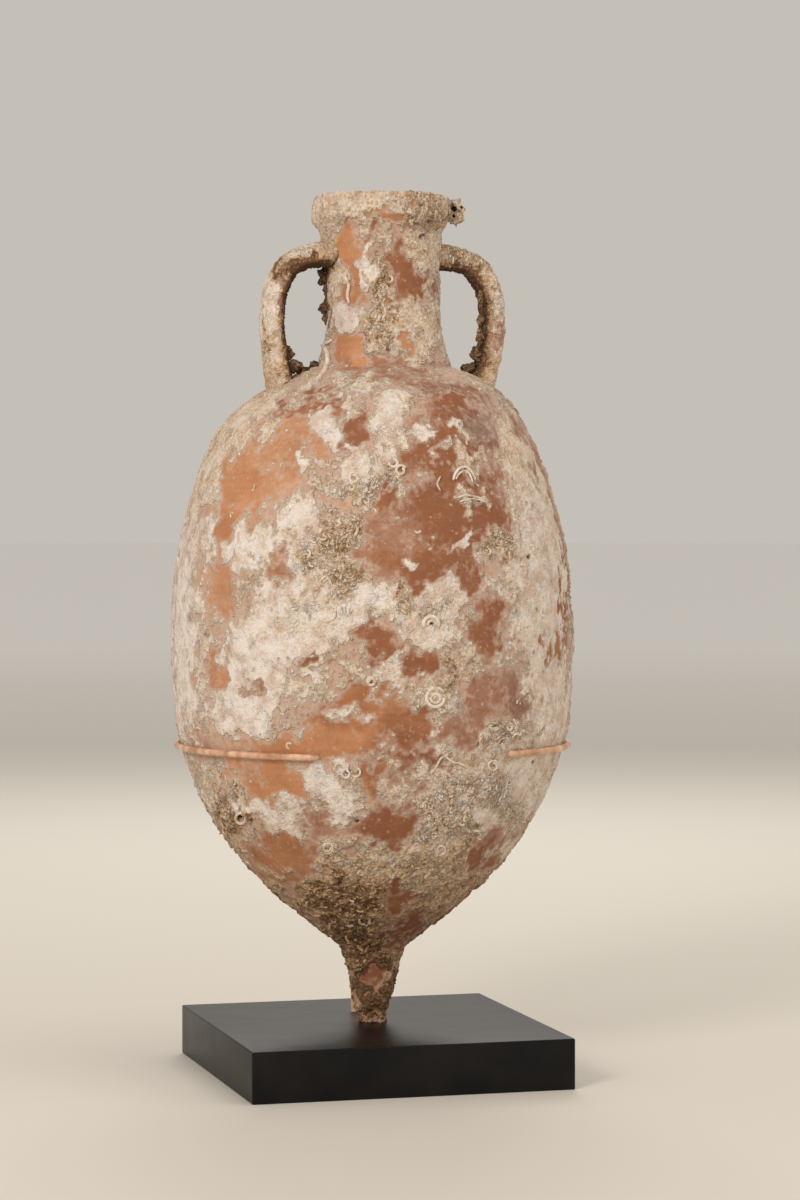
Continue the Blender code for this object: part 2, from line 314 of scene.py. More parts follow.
def combined(name: str, body: Object, tool: Object, operation: str, material: Material,
             crease: float) -> Object:
    """Joins a tool to a body or cuts it out of it, and uses both up.

    Args:
        name: The new object's name.
        body: The object that is kept.
        tool: What is joined or cut out.
        operation: UNION or DIFFERENCE.
        material: What the result is made of.
        crease: Angle in degrees from which an edge stays sharp.

    Returns:
        The new object.
    """
    change = body.modifiers.new(operation, "BOOLEAN")
    change.object = tool
    change.operation = operation
    mesh = baked(body)
    bpy.data.objects.remove(tool, do_unlink=True)
    mesh.shade_smooth()
    mesh.set_sharp_from_angle(angle=math.radians(crease))
    mesh.materials.clear()
    mesh.materials.append(material)
    return add_object(name, mesh)


def new_group(name: str, values: dict[str, object]) -> tuple[GeometryNodeTree, NodeOutputs]:
    """An empty geometry tree with named inputs.

    Args:
        name: The tree's name.
        values: Name of each input besides the geometry, to a value of its kind.

    Returns:
        The tree and the sockets of its inputs.
    """
    tree = bpy.data.node_groups.new(name, "GeometryNodeTree")
    tree.interface.new_socket("Geometry", in_out="INPUT", socket_type="NodeSocketGeometry")
    for socket, value in values.items():
        kind = {float: "Float", int: "Int"}.get(type(value), "Material")
        tree.interface.new_socket(socket, in_out="INPUT", socket_type="NodeSocket" + kind)
    tree.interface.new_socket("Geometry", in_out="OUTPUT", socket_type="NodeSocketGeometry")
    return tree, tree.nodes.new("NodeGroupInput").outputs


def end_group(tree: GeometryNodeTree, shape: NodeSocket, material: NodeSocket) -> GeometryNodeTree:
    """Ends a geometry tree in a plain mesh of one material."""
    shape = add_node(tree, "GeometryNodeRealizeInstances", {"Geometry": shape})
    shape = add_node(tree, "GeometryNodeSetMaterial", {"Geometry": shape, "Material": material})
    add_node(tree, "NodeGroupOutput", {"Geometry": shape})
    return tree


def run_group(obj: Object, tree: GeometryNodeTree, values: dict[str, object]) -> Mesh:
    """Runs a geometry tree on an object and bakes the result.

    Args:
        obj: The object, which is removed.
        tree: The tree.
        values: Name of each input to its value.

    Returns:
        The result.
    """
    modifier = obj.modifiers.new(tree.name, "NODES")
    modifier.node_group = tree
    for item in tree.interface.items_tree:
        if item.in_out == "INPUT" and item.name in values:
            modifier[item.identifier] = values[item.name]
    return baked(obj)


def hand_over(obj: Object, slot: str, *nodes: str) -> None:
    """Fixes a finished piece to the model and logs it.

    Args:
        obj: The piece.
        slot: The material slot that it would take its finish from; not used.
        *nodes: The solids that it stands for.
    """
    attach(obj, "root")
    if nodes:
        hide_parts(*nodes)
    triangles = sum(len(p.vertices) - 2 for p in obj.data.polygons)
    log.info("%s: %d triangles", obj.name, triangles)


# Where the photograph was taken from

@dataclass(frozen=True)
class Sight:
    """The line of sight of the picture, level and a little to the left of the front."""

    eye: tuple[float, float, float] = (-0.929, -3.456, 0.591)
    turn: float = math.radians(-15.5)
    lens: float = 104.4
    sensor: float = 36.0
    shift_up: float = -0.0867

    @property
    def forward(self) -> np.ndarray:
        """Unit vector along the line of sight."""
        return np.array([-math.sin(self.turn), math.cos(self.turn), 0.0])

    @property
    def right(self) -> np.ndarray:
        """Unit vector to the picture's right."""
        return np.array([math.cos(self.turn), math.sin(self.turn), 0.0])

    def seen(self, points: np.ndarray) -> tuple[np.ndarray, np.ndarray]:
        """Where points show, measured in the upright plane through the vessel's axis.

        Args:
            points: Rows of x, y and z.

        Returns:
            How far right of the axis and how far above the toe each one shows, in metres.
        """
        eye = np.array(self.eye)
        axis_depth = -eye @ self.forward
        scale = axis_depth / ((points - eye) @ self.forward)
        across = ((points - eye) @ self.right) * scale + eye @ self.right
        height = self.eye[2] - TOE_LEVEL + (points[:, 2] - self.eye[2]) * scale
        return across, height

    def facing(self, points: np.ndarray, normals: np.ndarray) -> np.ndarray:
        """How fully each point's surface shows: 0 on the far side, 1 on the near side."""
        towards = np.array(self.eye) - points
        towards /= np.linalg.norm(towards, axis=1)[:, None]
        return smoothstep(-0.06, 0.12, (towards * normals).sum(axis=1))

    def touch(self, spots: np.ndarray, shape: "VesselShape", proud: float) -> np.ndarray:
        """Finds where lines of sight meet the vessel.

        Args:
            spots: Rows of across and height in the upright plane, in metres.
            shape: The vessel.
            proud: How far off the clay the points lie.

        Returns:
            Rows of x, y and z.
        """
        eye = np.array(self.eye)
        aims = self.right * spots[:, :1] + np.array([0, 0, TOE_LEVEL]) + np.array([0, 0, 1.0]) * spots[:, 1:]
        share = np.linspace(0.93, 1.0, 700)[:, None, None]
        points = eye + share * (aims - eye)
        height = points[..., 2] - TOE_LEVEL
        radius = np.hypot(points[..., 0] - shape.shift(height), points[..., 1])
        clear = radius - shape.clay_radius(height) - proud
        hit = np.where((clear < 0).any(axis=0), (clear < 0).argmax(axis=0), clear.argmin(axis=0))
        return points[hit, np.arange(len(spots))]

    def place_camera(self) -> None:
        """Adds the camera and makes it the scene's own."""
        data = bpy.data.cameras.new("camera")
        data.sensor_fit = "AUTO"
        data.sensor_width = self.sensor
        data.lens = self.lens
        data.shift_y = self.shift_up
        camera = add_object("camera", data)
        camera.location = self.eye
        camera.rotation_euler = (math.pi / 2, 0.0, self.turn)
        bpy.context.scene.camera = camera


# What the surface is made of, patch by patch

@dataclass(frozen=True)
class Look:
    """How one kind of ground looks and stands out.

    cover runs from 0, bare clay, to 1, closed crust; tone from 0, white, to 1, brown; relief is its
    roughness; clay is the hue under it, from 0, orange, through 0.5, red-brown, to 1, purple-grey.
    """

    cover: float
    tone: float
    relief: float
    clay: float


class Ground(Enum):
    """The kinds of ground that the surface shows."""

    ORANGE = Look(0.04, 0.25, 0.20, 0.14)
    PEACH = Look(0.20, 0.25, 0.20, 0.18)
    TAN = Look(0.05, 0.40, 0.20, 0.36)
    RED = Look(0.05, 0.32, 0.25, 0.52)
    PINK = Look(0.25, 0.28, 0.20, 0.50)
    PURPLE = Look(0.20, 0.40, 0.20, 0.90)
    LACY = Look(0.52, 0.22, 0.32, 0.42)
    WHITE = Look(0.93, 0.00, 0.16, 0.30)
    CREAM = Look(0.92, 0.15, 0.32, 0.35)
    POROUS = Look(0.96, 0.30, 0.85, 0.35)
    BEIGE = Look(0.92, 0.32, 0.58, 0.40)
    SAND = Look(0.94, 0.16, 0.20, 0.35)
    ASH = Look(0.86, 0.34, 0.22, 0.42)
    FINE = Look(0.93, 0.36, 0.42, 0.42)
    GREY = Look(0.92, 0.50, 0.84, 0.50)
    BROWN = Look(0.78, 0.62, 0.90, 0.62)
    MUD = Look(0.66, 0.78, 0.55, 0.62)
    # dark brown crust that also stands for painted shade, on the handles' inner sides and where a handle
    # shades the neck
    STAIN = Look(0.60, 1.10, 0.60, 0.95)


@dataclass(frozen=True)
class Patch:
    """One patch of ground, by where it shows in the upright plane through the axis, in millimetres."""

    ground: Ground
    across: float
    height: float
    half_width: float
    half_height: float
    tilt: float = 0.0  # degrees, anticlockwise


@dataclass(frozen=True)
class Knob:
    """A lump, or a hole where its rise is negative, by where it shows, in millimetres."""

    across: float
    height: float
    half_width: float
    half_height: float
    rise: float
    # dark is painted shade laid into a hole or slit
    dark: float = 0.0
    tilt: float = 0.0


def patches(*rows: tuple) -> tuple[Patch, ...]:
    """Patches from rows of ground, across, height, half width, half height and tilt."""
    return tuple(Patch(Ground[name], *spot) for name, *spot in rows)


BODY_PATCHES = patches(
    # the left edge and shoulder
    ("LACY", -185, 430, 24, 150), ("WHITE", -196, 400, 14, 120), ("CREAM", -150, 560, 30, 26, 50),
    ("PEACH", -97, 578, 58, 38, 25), ("ORANGE", -140, 545, 24, 40, 0), ("ASH", -132, 614, 46, 19, 46),
    ("ASH", -173, 560, 56, 13, 67), ("PEACH", -58, 622, 38, 10, 28), ("WHITE", -52, 612, 11, 17, -20),
    ("WHITE", -66, 572, 9, 9), ("WHITE", -38, 598, 10, 12, 30), ("LACY", -68, 535, 24, 9, 8),
    ("PEACH", -32, 536, 18, 14), ("PEACH", -156, 448, 17, 43, -8), ("ORANGE", -150, 506, 12, 20, 12),
    ("WHITE", -166, 500, 9, 16, 12), ("WHITE", -127, 483, 23, 28), ("WHITE", -100, 455, 16, 40, -12),
    ("PINK", -97, 462, 11, 22), ("WHITE", -112, 370, 48, 50), ("CREAM", -70, 402, 40, 26),
    ("WHITE", -134, 320, 36, 30, -14), ("PINK", -122, 345, 16, 8, 20), ("PEACH", -161, 362, 12, 24, -12),
    ("LACY", -72, 345, 30, 26), ("RED", -62, 370, 13, 6, 4),
    # the rough cluster in the middle
    ("BEIGE", -42, 462, 42, 66, 6), ("GREY", -32, 478, 28, 48, 12), ("CREAM", -52, 412, 44, 26),
    ("WHITE", -66, 504, 10, 26, 4), ("WHITE", -84, 514, 10, 18, -10), ("POROUS", -60, 470, 18, 40, 6),
    ("CREAM", -76, 438, 24, 26), ("CREAM", -10, 430, 26, 14, 8), ("PINK", 8, 486, 32, 20, 16),
    # the band that comes down from the neck
    ("RED", -42, 640, 60, 9, 12), ("LACY", -22, 645, 36, 5, 12), ("LACY", 14, 642, 62, 8, 0),
    ("PURPLE", 74, 652, 48, 8, -16), ("CREAM", 16, 604, 14, 42), ("RED", -14, 606, 12, 24),
    ("POROUS", 4, 554, 38, 22, 10), ("CREAM", -13, 572, 12, 22, -10), ("LACY", 24, 530, 24, 16, -20),
    ("RED", 10, 535, 12, 12),
    # the red-brown field to the right
    ("RED", 74, 572, 50, 58, -28), ("RED", 92, 520, 46, 56), ("RED", 50, 490, 60, 40, -6),
    ("PINK", 30, 500, 32, 22, -6), ("RED", 88, 622, 40, 15, -26), ("PURPLE", 118, 608, 26, 18, -46),
    ("WHITE", 50, 604, 11, 7), ("CREAM", 84, 610, 12, 6, -12), ("LACY", 64, 588, 10, 8),
    ("PINK", 50, 558, 16, 16), ("BEIGE", 98, 574, 21, 14, -22), ("POROUS", 106, 560, 13, 8),
    ("BEIGE", 103, 535, 15, 8, -4), ("WHITE", 150, 545, 6, 8), ("WHITE", 40, 474, 7, 7),
    ("WHITE", 92, 490, 14, 5, 40), ("GREY", 124, 488, 13, 17), ("LACY", 120, 462, 9, 24),
    ("RED", 96, 458, 18, 22), ("RED", 66, 450, 44, 20, 10),
    # the crust down the right edge
    ("ASH", 158, 560, 20, 70, 24), ("BEIGE", 150, 498, 16, 50, 8), ("SAND", 172, 450, 28, 110, 4),
    ("SAND", 180, 340, 22, 90, -4), ("RED", 198, 450, 5, 80, 2), ("PINK", 170, 588, 46, 9, -60),
    ("PINK", 191, 520, 40, 7, -78), ("TAN", 186, 384, 6, 20), ("LACY", 138, 420, 14, 34),
    ("RED", 118, 404, 20, 34),
    # the round growths
    ("RED", 0, 398, 27, 16), ("WHITE", 8, 436, 26, 14), ("GREY", 34, 440, 18, 10, 20),
    ("CREAM", 68, 434, 34, 19, -6), ("CREAM", 60, 406, 30, 24), ("POROUS", 62, 418, 18, 14),
    ("RED", 22, 376, 22, 10), ("CREAM", 20, 364, 19, 13, 14), ("CREAM", 0, 351, 15, 10),
    ("RED", 52, 366, 14, 12), ("BEIGE", 84, 356, 22, 27, 14), ("GREY", 80, 358, 11, 16),
    ("BEIGE", 60, 328, 21, 17), ("LACY", 138, 366, 12, 28, -12), ("PURPLE", 146, 330, 20, 28),
    ("PINK", 112, 330, 18, 30),
    # the bare belly above the ring
    ("TAN", -4, 318, 46, 26, -4), ("TAN", -20, 296, 50, 16, -6), ("RED", 40, 300, 30, 18, 10),
    ("LACY", -24, 318, 30, 7, 10), ("PINK", 84, 298, 30, 20), ("POROUS", 138, 294, 32, 14, 8),
    ("CREAM", 68, 299, 7, 8), ("ORANGE", -92, 282, 30, 10, -4), ("ORANGE", -44, 284, 34, 16),
    # under the ring
    ("ORANGE", -98, 244, 34, 26, -16), ("ORANGE", -150, 262, 14, 22, -30), ("BROWN", -143, 216, 20, 26, -50),
    ("BEIGE", -165, 240, 14, 40, -24), ("WHITE", -120, 222, 26, 9, -30), ("WHITE", -54, 250, 15, 20, 10),
    ("WHITE", -36, 228, 16, 32, 12), ("CREAM", -84, 206, 26, 22, -30), ("PINK", -58, 206, 20, 18),
    ("TAN", -92, 170, 37, 24, -12), ("ORANGE", -2, 248, 12, 13), ("RED", 40, 268, 40, 12, -4),
    ("PINK", 40, 246, 30, 18), ("BEIGE", 92, 236, 46, 40, 20), ("POROUS", 84, 200, 44, 46, 28),
    ("BEIGE", 66, 160, 44, 36, 34), ("POROUS", 134, 238, 18, 34, 24), ("SAND", 158, 244, 20, 40, 24),
    ("SAND", 128, 190, 14, 48, 40), ("PINK", 118, 184, 24, 14, 30), ("RED", 104, 166, 22, 10, 40),
    ("RED", 16, 198, 32, 20, 8), ("BEIGE", -12, 158, 46, 24, 4), ("BROWN", -30, 128, 44, 22, -10),
    ("RED", 30, 124, 22, 14, 20), ("RED", 36, 96, 22, 10, 34), ("BEIGE", 66, 128, 30, 12, 36),
    ("BROWN", -24, 100, 24, 18), ("BROWN", -4, 70, 22, 24), ("MUD", 2, 34, 26, 26), ("LACY", 14, 52, 6, 22),
    ("MUD", 0, 12, 18, 16), ("RED", 4, 44, 8, 9),
)

# the darkest patch here is painted shade as well as dark crust: a strip down the neck's left, in the left
# handle's shadow
NECK_PATCHES = patches(
    ("FINE", 10, 838, 82, 22), ("GREY", 56, 832, 26, 24), ("ORANGE", 19, 832, 28, 8, -6),
    ("TAN", -1, 809, 7, 5), ("FINE", -42, 760, 12, 36), ("STAIN", -50, 752, 6, 34),
    ("BEIGE", 58, 790, 20, 32), ("FINE", 46, 800, 14, 16), ("ORANGE", -25, 792, 14, 17),
    ("ORANGE", -20, 760, 10, 22), ("RED", 22, 774, 18, 24, 12), ("RED", 42, 756, 20, 11, 8),
    ("WHITE", -1, 796, 10, 8), ("WHITE", -8, 771, 6, 23), ("GREY", 10, 738, 12, 52, -4),
    ("WHITE", -28, 722, 19, 17, 20), ("FINE", 46, 712, 32, 34), ("ORANGE", 35, 697, 13, 7, -12),
    ("ORANGE", -26, 688, 18, 19, -12), ("PINK", 14, 668, 50, 8),
)

# the darkest patches here, along the handles' inner edges and under their tops, are painted shade as well as
# dark crust
HANDLE_PATCHES = patches(
    ("CREAM", -118, 740, 16, 70), ("BEIGE", -85, 790, 30, 16, 20), ("STAIN", -76, 776, 24, 8, 10),
    ("STAIN", -92, 720, 5, 46, 0), ("RED", -97, 728, 6, 20), ("GREY", -92, 688, 10, 20),
    ("BEIGE", 130, 740, 16, 60), ("GREY", 100, 788, 30, 14, -20), ("STAIN", 90, 772, 22, 8, -10),
    ("STAIN", 108, 734, 5, 40, 4), ("PINK", 132, 706, 6, 24), ("BROWN", 112, 690, 12, 22),
)

KNOBS = tuple(Knob(*row) for row in (
    # the rim's broken edges
    (-61, 822, 6, 8, 2.5), (-55, 812, 6, 4, -3.0, 0.5), (44, 820, 5, 9, -2.0, 0.5, -30),
    (52, 806, 4, 7, -2.0, 0.6, -30), (66, 815, 4, 7, -2.2, 0.6, -25),
    # the neck's cluster
    (8, 765, 9, 12, 3.0), (16, 742, 11, 13, 3.5), (4, 722, 8, 10, 2.6), (18, 712, 8, 10, 2.2),
    (14, 690, 3, 12, -2.0, 0.6, 20), (36, 740, 12, 7, 2.0), (60, 728, 12, 8, 2.4),
    # slits in the crust down the right edge
    (153, 500, 3.5, 24, -2.2, 0.45, 8), (160, 478, 3.5, 7, -3.5, 0.8, 10), (150, 490, 6.0, 30, 1.6, 0.0, 8),
    (171, 423, 3.0, 8, -2.5, 0.6, 10), (160, 368, 3.0, 12, -2.0, 0.5), (172, 296, 2.0, 9, -2.0, 0.8, -15),
    # the left edge
    (-178, 430, 8, 12, 1.8), (-170, 398, 6, 8, -1.5, 0.5), (-165, 540, 7, 9, 2.0),
    # the arched shell on the round growth
    (60, 407, 3.6, 3.6, -2.0, 0.9),
    # holes and tubes under the ring
    (-135, 209, 5, 6, -5.0, 1.0), (-128, 216, 7, 6, 3.0), (-27, 254, 5, 4, -3.0, 0.9), (-18, 258, 6, 5, 2.6),
    (-14, 207, 3, 5, -3.0, 0.9, -30), (-24, 106, 9, 9, 3.5), (-23, 103, 3.0, 5, -6.0, 1.0, -35),
    (-10, 103, 3.0, 5, -6.0, 1.0, 20), (4, 112, 8, 7, 3.0), (-50, 132, 8, 7, 3.2, 0.2),
    (-34, 142, 6, 5, -3.0, 0.8), (92, 140, 4, 4, -3.5, 0.9, 30), (165, 262, 4, 4, -3.0, 0.8),
    (-14, 60, 6, 8, 2.6), (14, 44, 5, 9, 3.0),
    # the wedge of crust that the right arm touches
    (112, 292, 5, 6, 2.0), (108, 285, 2.0, 9, -2.0, 0.8, -30), (122, 303, 14, 2.0, -1.8, 0.8, 14),
))


@dataclass(frozen=True)
class SurfacePainter:
    """Says for each point of the vessel what ground is there and how it stands out."""

    sight: Sight
    seed: int = 11
    even: tuple = (("cover", 0.50), ("tone", 0.35), ("relief", 0.42), ("clay", 0.40), ("hollow", 0.0),
                   ("extra", 0.0), ("limit", 0.03), ("settle", 0.0))
    ragged: tuple = ((34 * MM, 4.5), (13 * MM, 2.4), (5.5 * MM, 1.1))  # waves, and how far each moves an edge
    edge: tuple[float, float] = (0.55, 1.3)  # where a patch fades, as shares of its half size
    hue_edge: tuple[float, float] = (0.5, 1.9)
    knob_drift: float = 0.3
    knob_facing: float = 2.5
    knob_fall: float = 2.2
    knob_cover: float = 0.95
    far_patches: int = 190
    far_kinds: tuple = (Ground.WHITE, Ground.CREAM, Ground.BEIGE, Ground.POROUS, Ground.GREY, Ground.LACY,
                        Ground.ORANGE, Ground.TAN, Ground.RED, Ground.PINK, Ground.RED, Ground.ORANGE)
    far_heights: tuple[float, float] = (0.08, 0.83)
    far_half_sizes: tuple[float, float] = (0.012, 0.045)
    far_squash: tuple[float, float] = (0.6, 1.6)
    brown_foot: tuple[float, float] = (0.10, 0.20)
    brown_share: float = 0.8

    def start(self, points: np.ndarray) -> dict[str, np.ndarray]:
        """Fields of an even, half-grown surface.

        Args:
            points: Rows of x, y and z.

        Returns:
            Field name to one value a point.
        """
        return {name: np.full(len(points), value) for name, value in self.even}

    def drift(self, points: np.ndarray, seed: int, unit: float = 1.0) -> np.ndarray:
        """How far a patch's edge wanders at each point, in millimetres times the unit."""
        return sum(far * unit * wobble(points, size, seed + i) for i, (size, far) in enumerate(self.ragged))

    def lay(self, fields: dict[str, np.ndarray], look: Look, distance: np.ndarray,
            share: np.ndarray | float) -> None:
        """Blends one look into the fields around a spot; the clay's hue spreads further than the rest.

        Args:
            fields: The fields to change.
            look: What to lay.
            distance: How far each point lies from the spot's middle, one at its edge.
            share: The most that each point may take.
        """
        weight = share * (1 - smoothstep(*self.edge, distance))
        for name in ("cover", "tone", "relief"):
            fields[name] += (getattr(look, name) - fields[name]) * weight
        if look.cover < 0.5:
            fields["clay"] += ((look.clay - fields["clay"]) * share
                               * (1 - smoothstep(*self.hue_edge, distance)))

    def paint_near_side(self, points: np.ndarray, normals: np.ndarray, patches: tuple,
                        fields: dict[str, np.ndarray]) -> None:
        """Lays the patches that the picture shows, raises its knobs, and paints shade into its holes.

        Args:
            points: Rows of x, y and z.
            normals: The surface's direction at each.
            patches: What to lay, first to last.
            fields: The fields to change.
        """
        across, height = (a / MM for a in self.sight.seen(points))
        facing = self.sight.facing(points, normals)
        drift = [self.drift(points, seed + self.seed) for seed in (100, 200)]
        for patch in patches:
            distance = self.reach(across + drift[0], height + drift[1], patch)
            self.lay(fields, patch.ground.value, distance, facing)
        small = [self.knob_drift * d for d in drift]
        for knob in KNOBS:
            distance = self.reach(across + small[0], height + small[1], knob)
            weight = np.minimum(1, self.knob_facing * facing) * np.exp(-self.knob_fall * distance**2)
            fields["extra"] += weight * knob.rise * MM
            # painted shade in the knobs' holes and slits
            fields["hollow"] = np.maximum(fields["hollow"], weight * knob.dark)
            fields["cover"] += weight * (self.knob_cover - fields["cover"]) * (knob.rise > 0)

    def reach(self, across: np.ndarray, height: np.ndarray, spot: "Patch | Knob") -> np.ndarray:
        """How far points lie from a spot's middle, as shares of its half sizes."""
        turn = math.radians(spot.tilt)
        u = across - spot.across
        v = height - spot.height
        along = (u * math.cos(turn) + v * math.sin(turn)) / spot.half_width
        up = (v * math.cos(turn) - u * math.sin(turn)) / spot.half_height
        return np.hypot(along, up)

    def paint_far_side(self, points: np.ndarray, normals: np.ndarray, fields: dict[str, np.ndarray]) -> None:
        """Scatters patches of the same kinds over what the picture doesn't show.

        Args:
            points: Rows of x, y and z.
            normals: The surface's direction at each.
            fields: The fields to change.
        """
        chance = np.random.default_rng(self.seed)
        away = 1 - self.sight.facing(points, normals)
        drift = [self.drift(points, seed, MM) for seed in (300, 400)]
        radius = np.hypot(points[:, 0], points[:, 1])
        turn = np.arctan2(points[:, 0], -points[:, 1])
        height = points[:, 2] - TOE_LEVEL + drift[1]
        for _ in range(self.far_patches):
            ground = self.far_kinds[chance.integers(len(self.far_kinds))]
            turn0, height0 = chance.uniform(-math.pi, math.pi), chance.uniform(*self.far_heights)
            half, squash = chance.uniform(*self.far_half_sizes), chance.uniform(*self.far_squash)
            du = radius * (np.mod(turn - turn0 + math.pi, 2 * math.pi) - math.pi) + drift[0]
            distance = np.hypot(du / half, (height - height0) / (half * squash))
            self.lay(fields, ground.value, distance, away)
        low = away * (1 - smoothstep(*self.brown_foot, height))
        self.lay(fields, Ground.BROWN.value, np.zeros(len(points)), low * self.brown_share)


# The pattern of the crust, the same for shapes and for colours

@dataclass(frozen=True)
class Grain:
    """An unevenness by its real size in metres, with a noise's detail, roughness and twist."""

    size: float
    detail: float = 2.0
    roughness: float = 0.5
    twist: float = 0.0

    def at(self, place: NodeSocket) -> dict[str, NodeSocket | float]:
        """What a noise takes to draw it."""
        return {"Vector": place, "Scale": 1 / self.size, "Detail": self.detail, "Roughness": self.roughness,
                "Distortion": self.twist}


@dataclass(frozen=True)
class CrustPattern:
    """Nodes that say where crust has grown, and how rough it is, from noises of several sizes.

    They read the same in a geometry tree and in a material, so relief and colour agree.
    """

    waves: tuple = (  # each with its weight
        (Grain(78 * MM, 2.0, 0.5, 0.4), 0.7), (Grain(21 * MM, 5.0, 0.62, 0.3), 1.8),
        (Grain(5 * MM, 3.0, 0.6), 1.0))
    spot_size: float = 14 * MM
    spot: Span = (0.07, 0.22, 0.42, 0.0)
    knobbly: Grain = Grain(6.5 * MM, 3.0, 0.62, 0.5)
    tangle_size: float = 21 * MM
    tangle_winds: float = 14.0
    tube_back: float = 0.7

    def field(self, tree: NodeTree, name: str) -> NodeSocket:
        """A stored field of the surface, in either kind of tree."""
        if tree.bl_idname == "GeometryNodeTree":
            kind = "FLOAT_VECTOR" if name == "rest" else "FLOAT"
            return add_node(tree, "GeometryNodeInputNamedAttribute", {"Name": name}, data_type=kind)
        return add_node(tree, "ShaderNodeAttribute", out=1 if name == "rest" else 2, attribute_name=name)

    def growth(self, tree: NodeTree, place: NodeSocket) -> NodeSocket:
        """How far the crust has grown: bare clay below a half, crust above it."""
        middle = sum(weight for _, weight in self.waves) / 2
        total = add_node(tree, MATH, (self.field(tree, "cover"), middle), operation="SUBTRACT")
        for grain, weight in self.waves:
            wave = add_node(tree, NOISE, grain.at(place))
            total = add_node(tree, MATH, (wave, weight, total), operation="MULTIPLY_ADD")
        spots = add_node(tree, CELLS, {"Vector": place, "Scale": 1 / self.spot_size})
        spots = add_node(tree, RANGE, (spots, *self.spot))
        return add_node(tree, MATH, (total, spots), operation="ADD")

    def lumps(self, tree: NodeTree, place: NodeSocket) -> NodeSocket:
        """Knobbly growth, about zero and mostly within a fifth."""
        wave = add_node(tree, NOISE, self.knobbly.at(place))
        return add_node(tree, MATH, (wave, 0.5), operation="SUBTRACT")

    def tangle(self, tree: NodeTree, place: NodeSocket, size: float) -> NodeSocket:
        """Old worm tubes, wound together: one along their backs, zero in the gaps between them."""
        wave = add_node(tree, NOISE, Grain(size, 1.2, 0.5, 1.6).at(place))
        wave = add_node(tree, MATH, (wave, self.tangle_winds), operation="MULTIPLY")
        wave = add_node(tree, MATH, (wave, 1.0), operation="PINGPONG")
        return add_node(tree, RANGE, (wave, 0.0, self.tube_back), interpolation_type="SMOOTHSTEP")


@dataclass(frozen=True)
class ReliefTree:
    """The geometry tree that raises the crust off the clay."""

    pattern: CrustPattern
    thickness: float = 0.9 * MM
    lump_height: float = 9.0 * MM
    swell_height: float = 9.0 * MM
    tube_height: float = 1.3 * MM
    throwing_ridge: float = 2.4 * MM
    crust_edge: tuple[float, float] = (0.44, 0.58)
    swell: Grain = Grain(18 * MM)
    swell_middle: float = 0.42
    ridge: Grain = Grain(70 * MM)
    ridge_stretch: tuple[float, float, float] = (0.35, 0.35, 5.0)

    def build(self, values: dict[str, object]) -> GeometryNodeTree:
        """Makes the tree.

        Args:
            values: Name of each input to its value.

        Returns:
            The tree, with its sizes as named inputs.
        """
        tree, entry = new_group("crust relief", values)
        p = self.pattern
        place = p.field(tree, "rest")
        crust = add_node(tree, RANGE, (p.growth(tree, place), *self.crust_edge))
        rough = self.roughness(tree, place, entry)
        rough = add_node(tree, MATH, (rough, p.field(tree, "relief"), entry["Thickness"]),
                         operation="MULTIPLY_ADD")
        ridges = self.clay_ridges(tree, place, entry["Throwing Ridge"])
        raised = add_node(tree, MATH, (rough, crust, ridges), operation="MULTIPLY_ADD")
        raised = add_node(tree, MATH, (raised, p.field(tree, "extra")), operation="ADD")
        raised = add_node(tree, MATH, (raised, p.field(tree, "limit")), operation="MINIMUM")
        normal = add_node(tree, "GeometryNodeInputNormal")
        offset = add_node(tree, VECTOR, {0: normal, "Scale": raised}, operation="SCALE")
        shape = add_node(tree, "GeometryNodeSetPosition", {"Geometry": entry["Geometry"], "Offset": offset})
        return end_group(tree, shape, entry["Material"])

    def clay_ridges(self, tree: NodeTree, place: NodeSocket, height: NodeSocket) -> NodeSocket:
        """The shallow rings that the potter's fingers left, stretched round the vessel."""
        stretched = add_node(tree, VECTOR, (place, self.ridge_stretch), operation="MULTIPLY")
        wave = add_node(tree, NOISE, self.ridge.at(stretched))
        wave = add_node(tree, MATH, (wave, 0.5), operation="SUBTRACT")
        return add_node(tree, MATH, (wave, height), operation="MULTIPLY")

    def roughness(self, tree: NodeTree, place: NodeSocket, entry: NodeOutputs) -> NodeSocket:
        """Lumps, swells and old tubes together, in metres at full relief."""
        p = self.pattern
        swell = add_node(tree, NOISE, self.swell.at(place))
        swell = add_node(tree, MATH, (swell, self.swell_middle), operation="SUBTRACT")
        total = add_node(tree, MATH, (p.tangle(tree, place, p.tangle_size), entry["Tube Height"]),
                         operation="MULTIPLY")
        for wave, name in ((swell, "Swell Height"), (p.lumps(tree, place), "Lump Height")):
            total = add_node(tree, MATH, (wave, entry[name], total), operation="MULTIPLY_ADD")
        return total

    def raise_crust(self, obj: Object, material: Material) -> Mesh:
        """Runs the tree on an object and bakes the result.

        Args:
            obj: The undisplaced surface, with its fields; it is removed.
            material: What the result is made of.

        Returns:
            The displaced mesh, its vertices in the same order.
        """
        values = {"Thickness": self.thickness, "Lump Height": self.lump_height,
                  "Swell Height": self.swell_height, "Tube Height": self.tube_height,
                  "Throwing Ridge": self.throwing_ridge, "Material": material}
        return run_group(obj, bpy.data.node_groups.get("crust relief") or self.build(values), values)


# The vessel

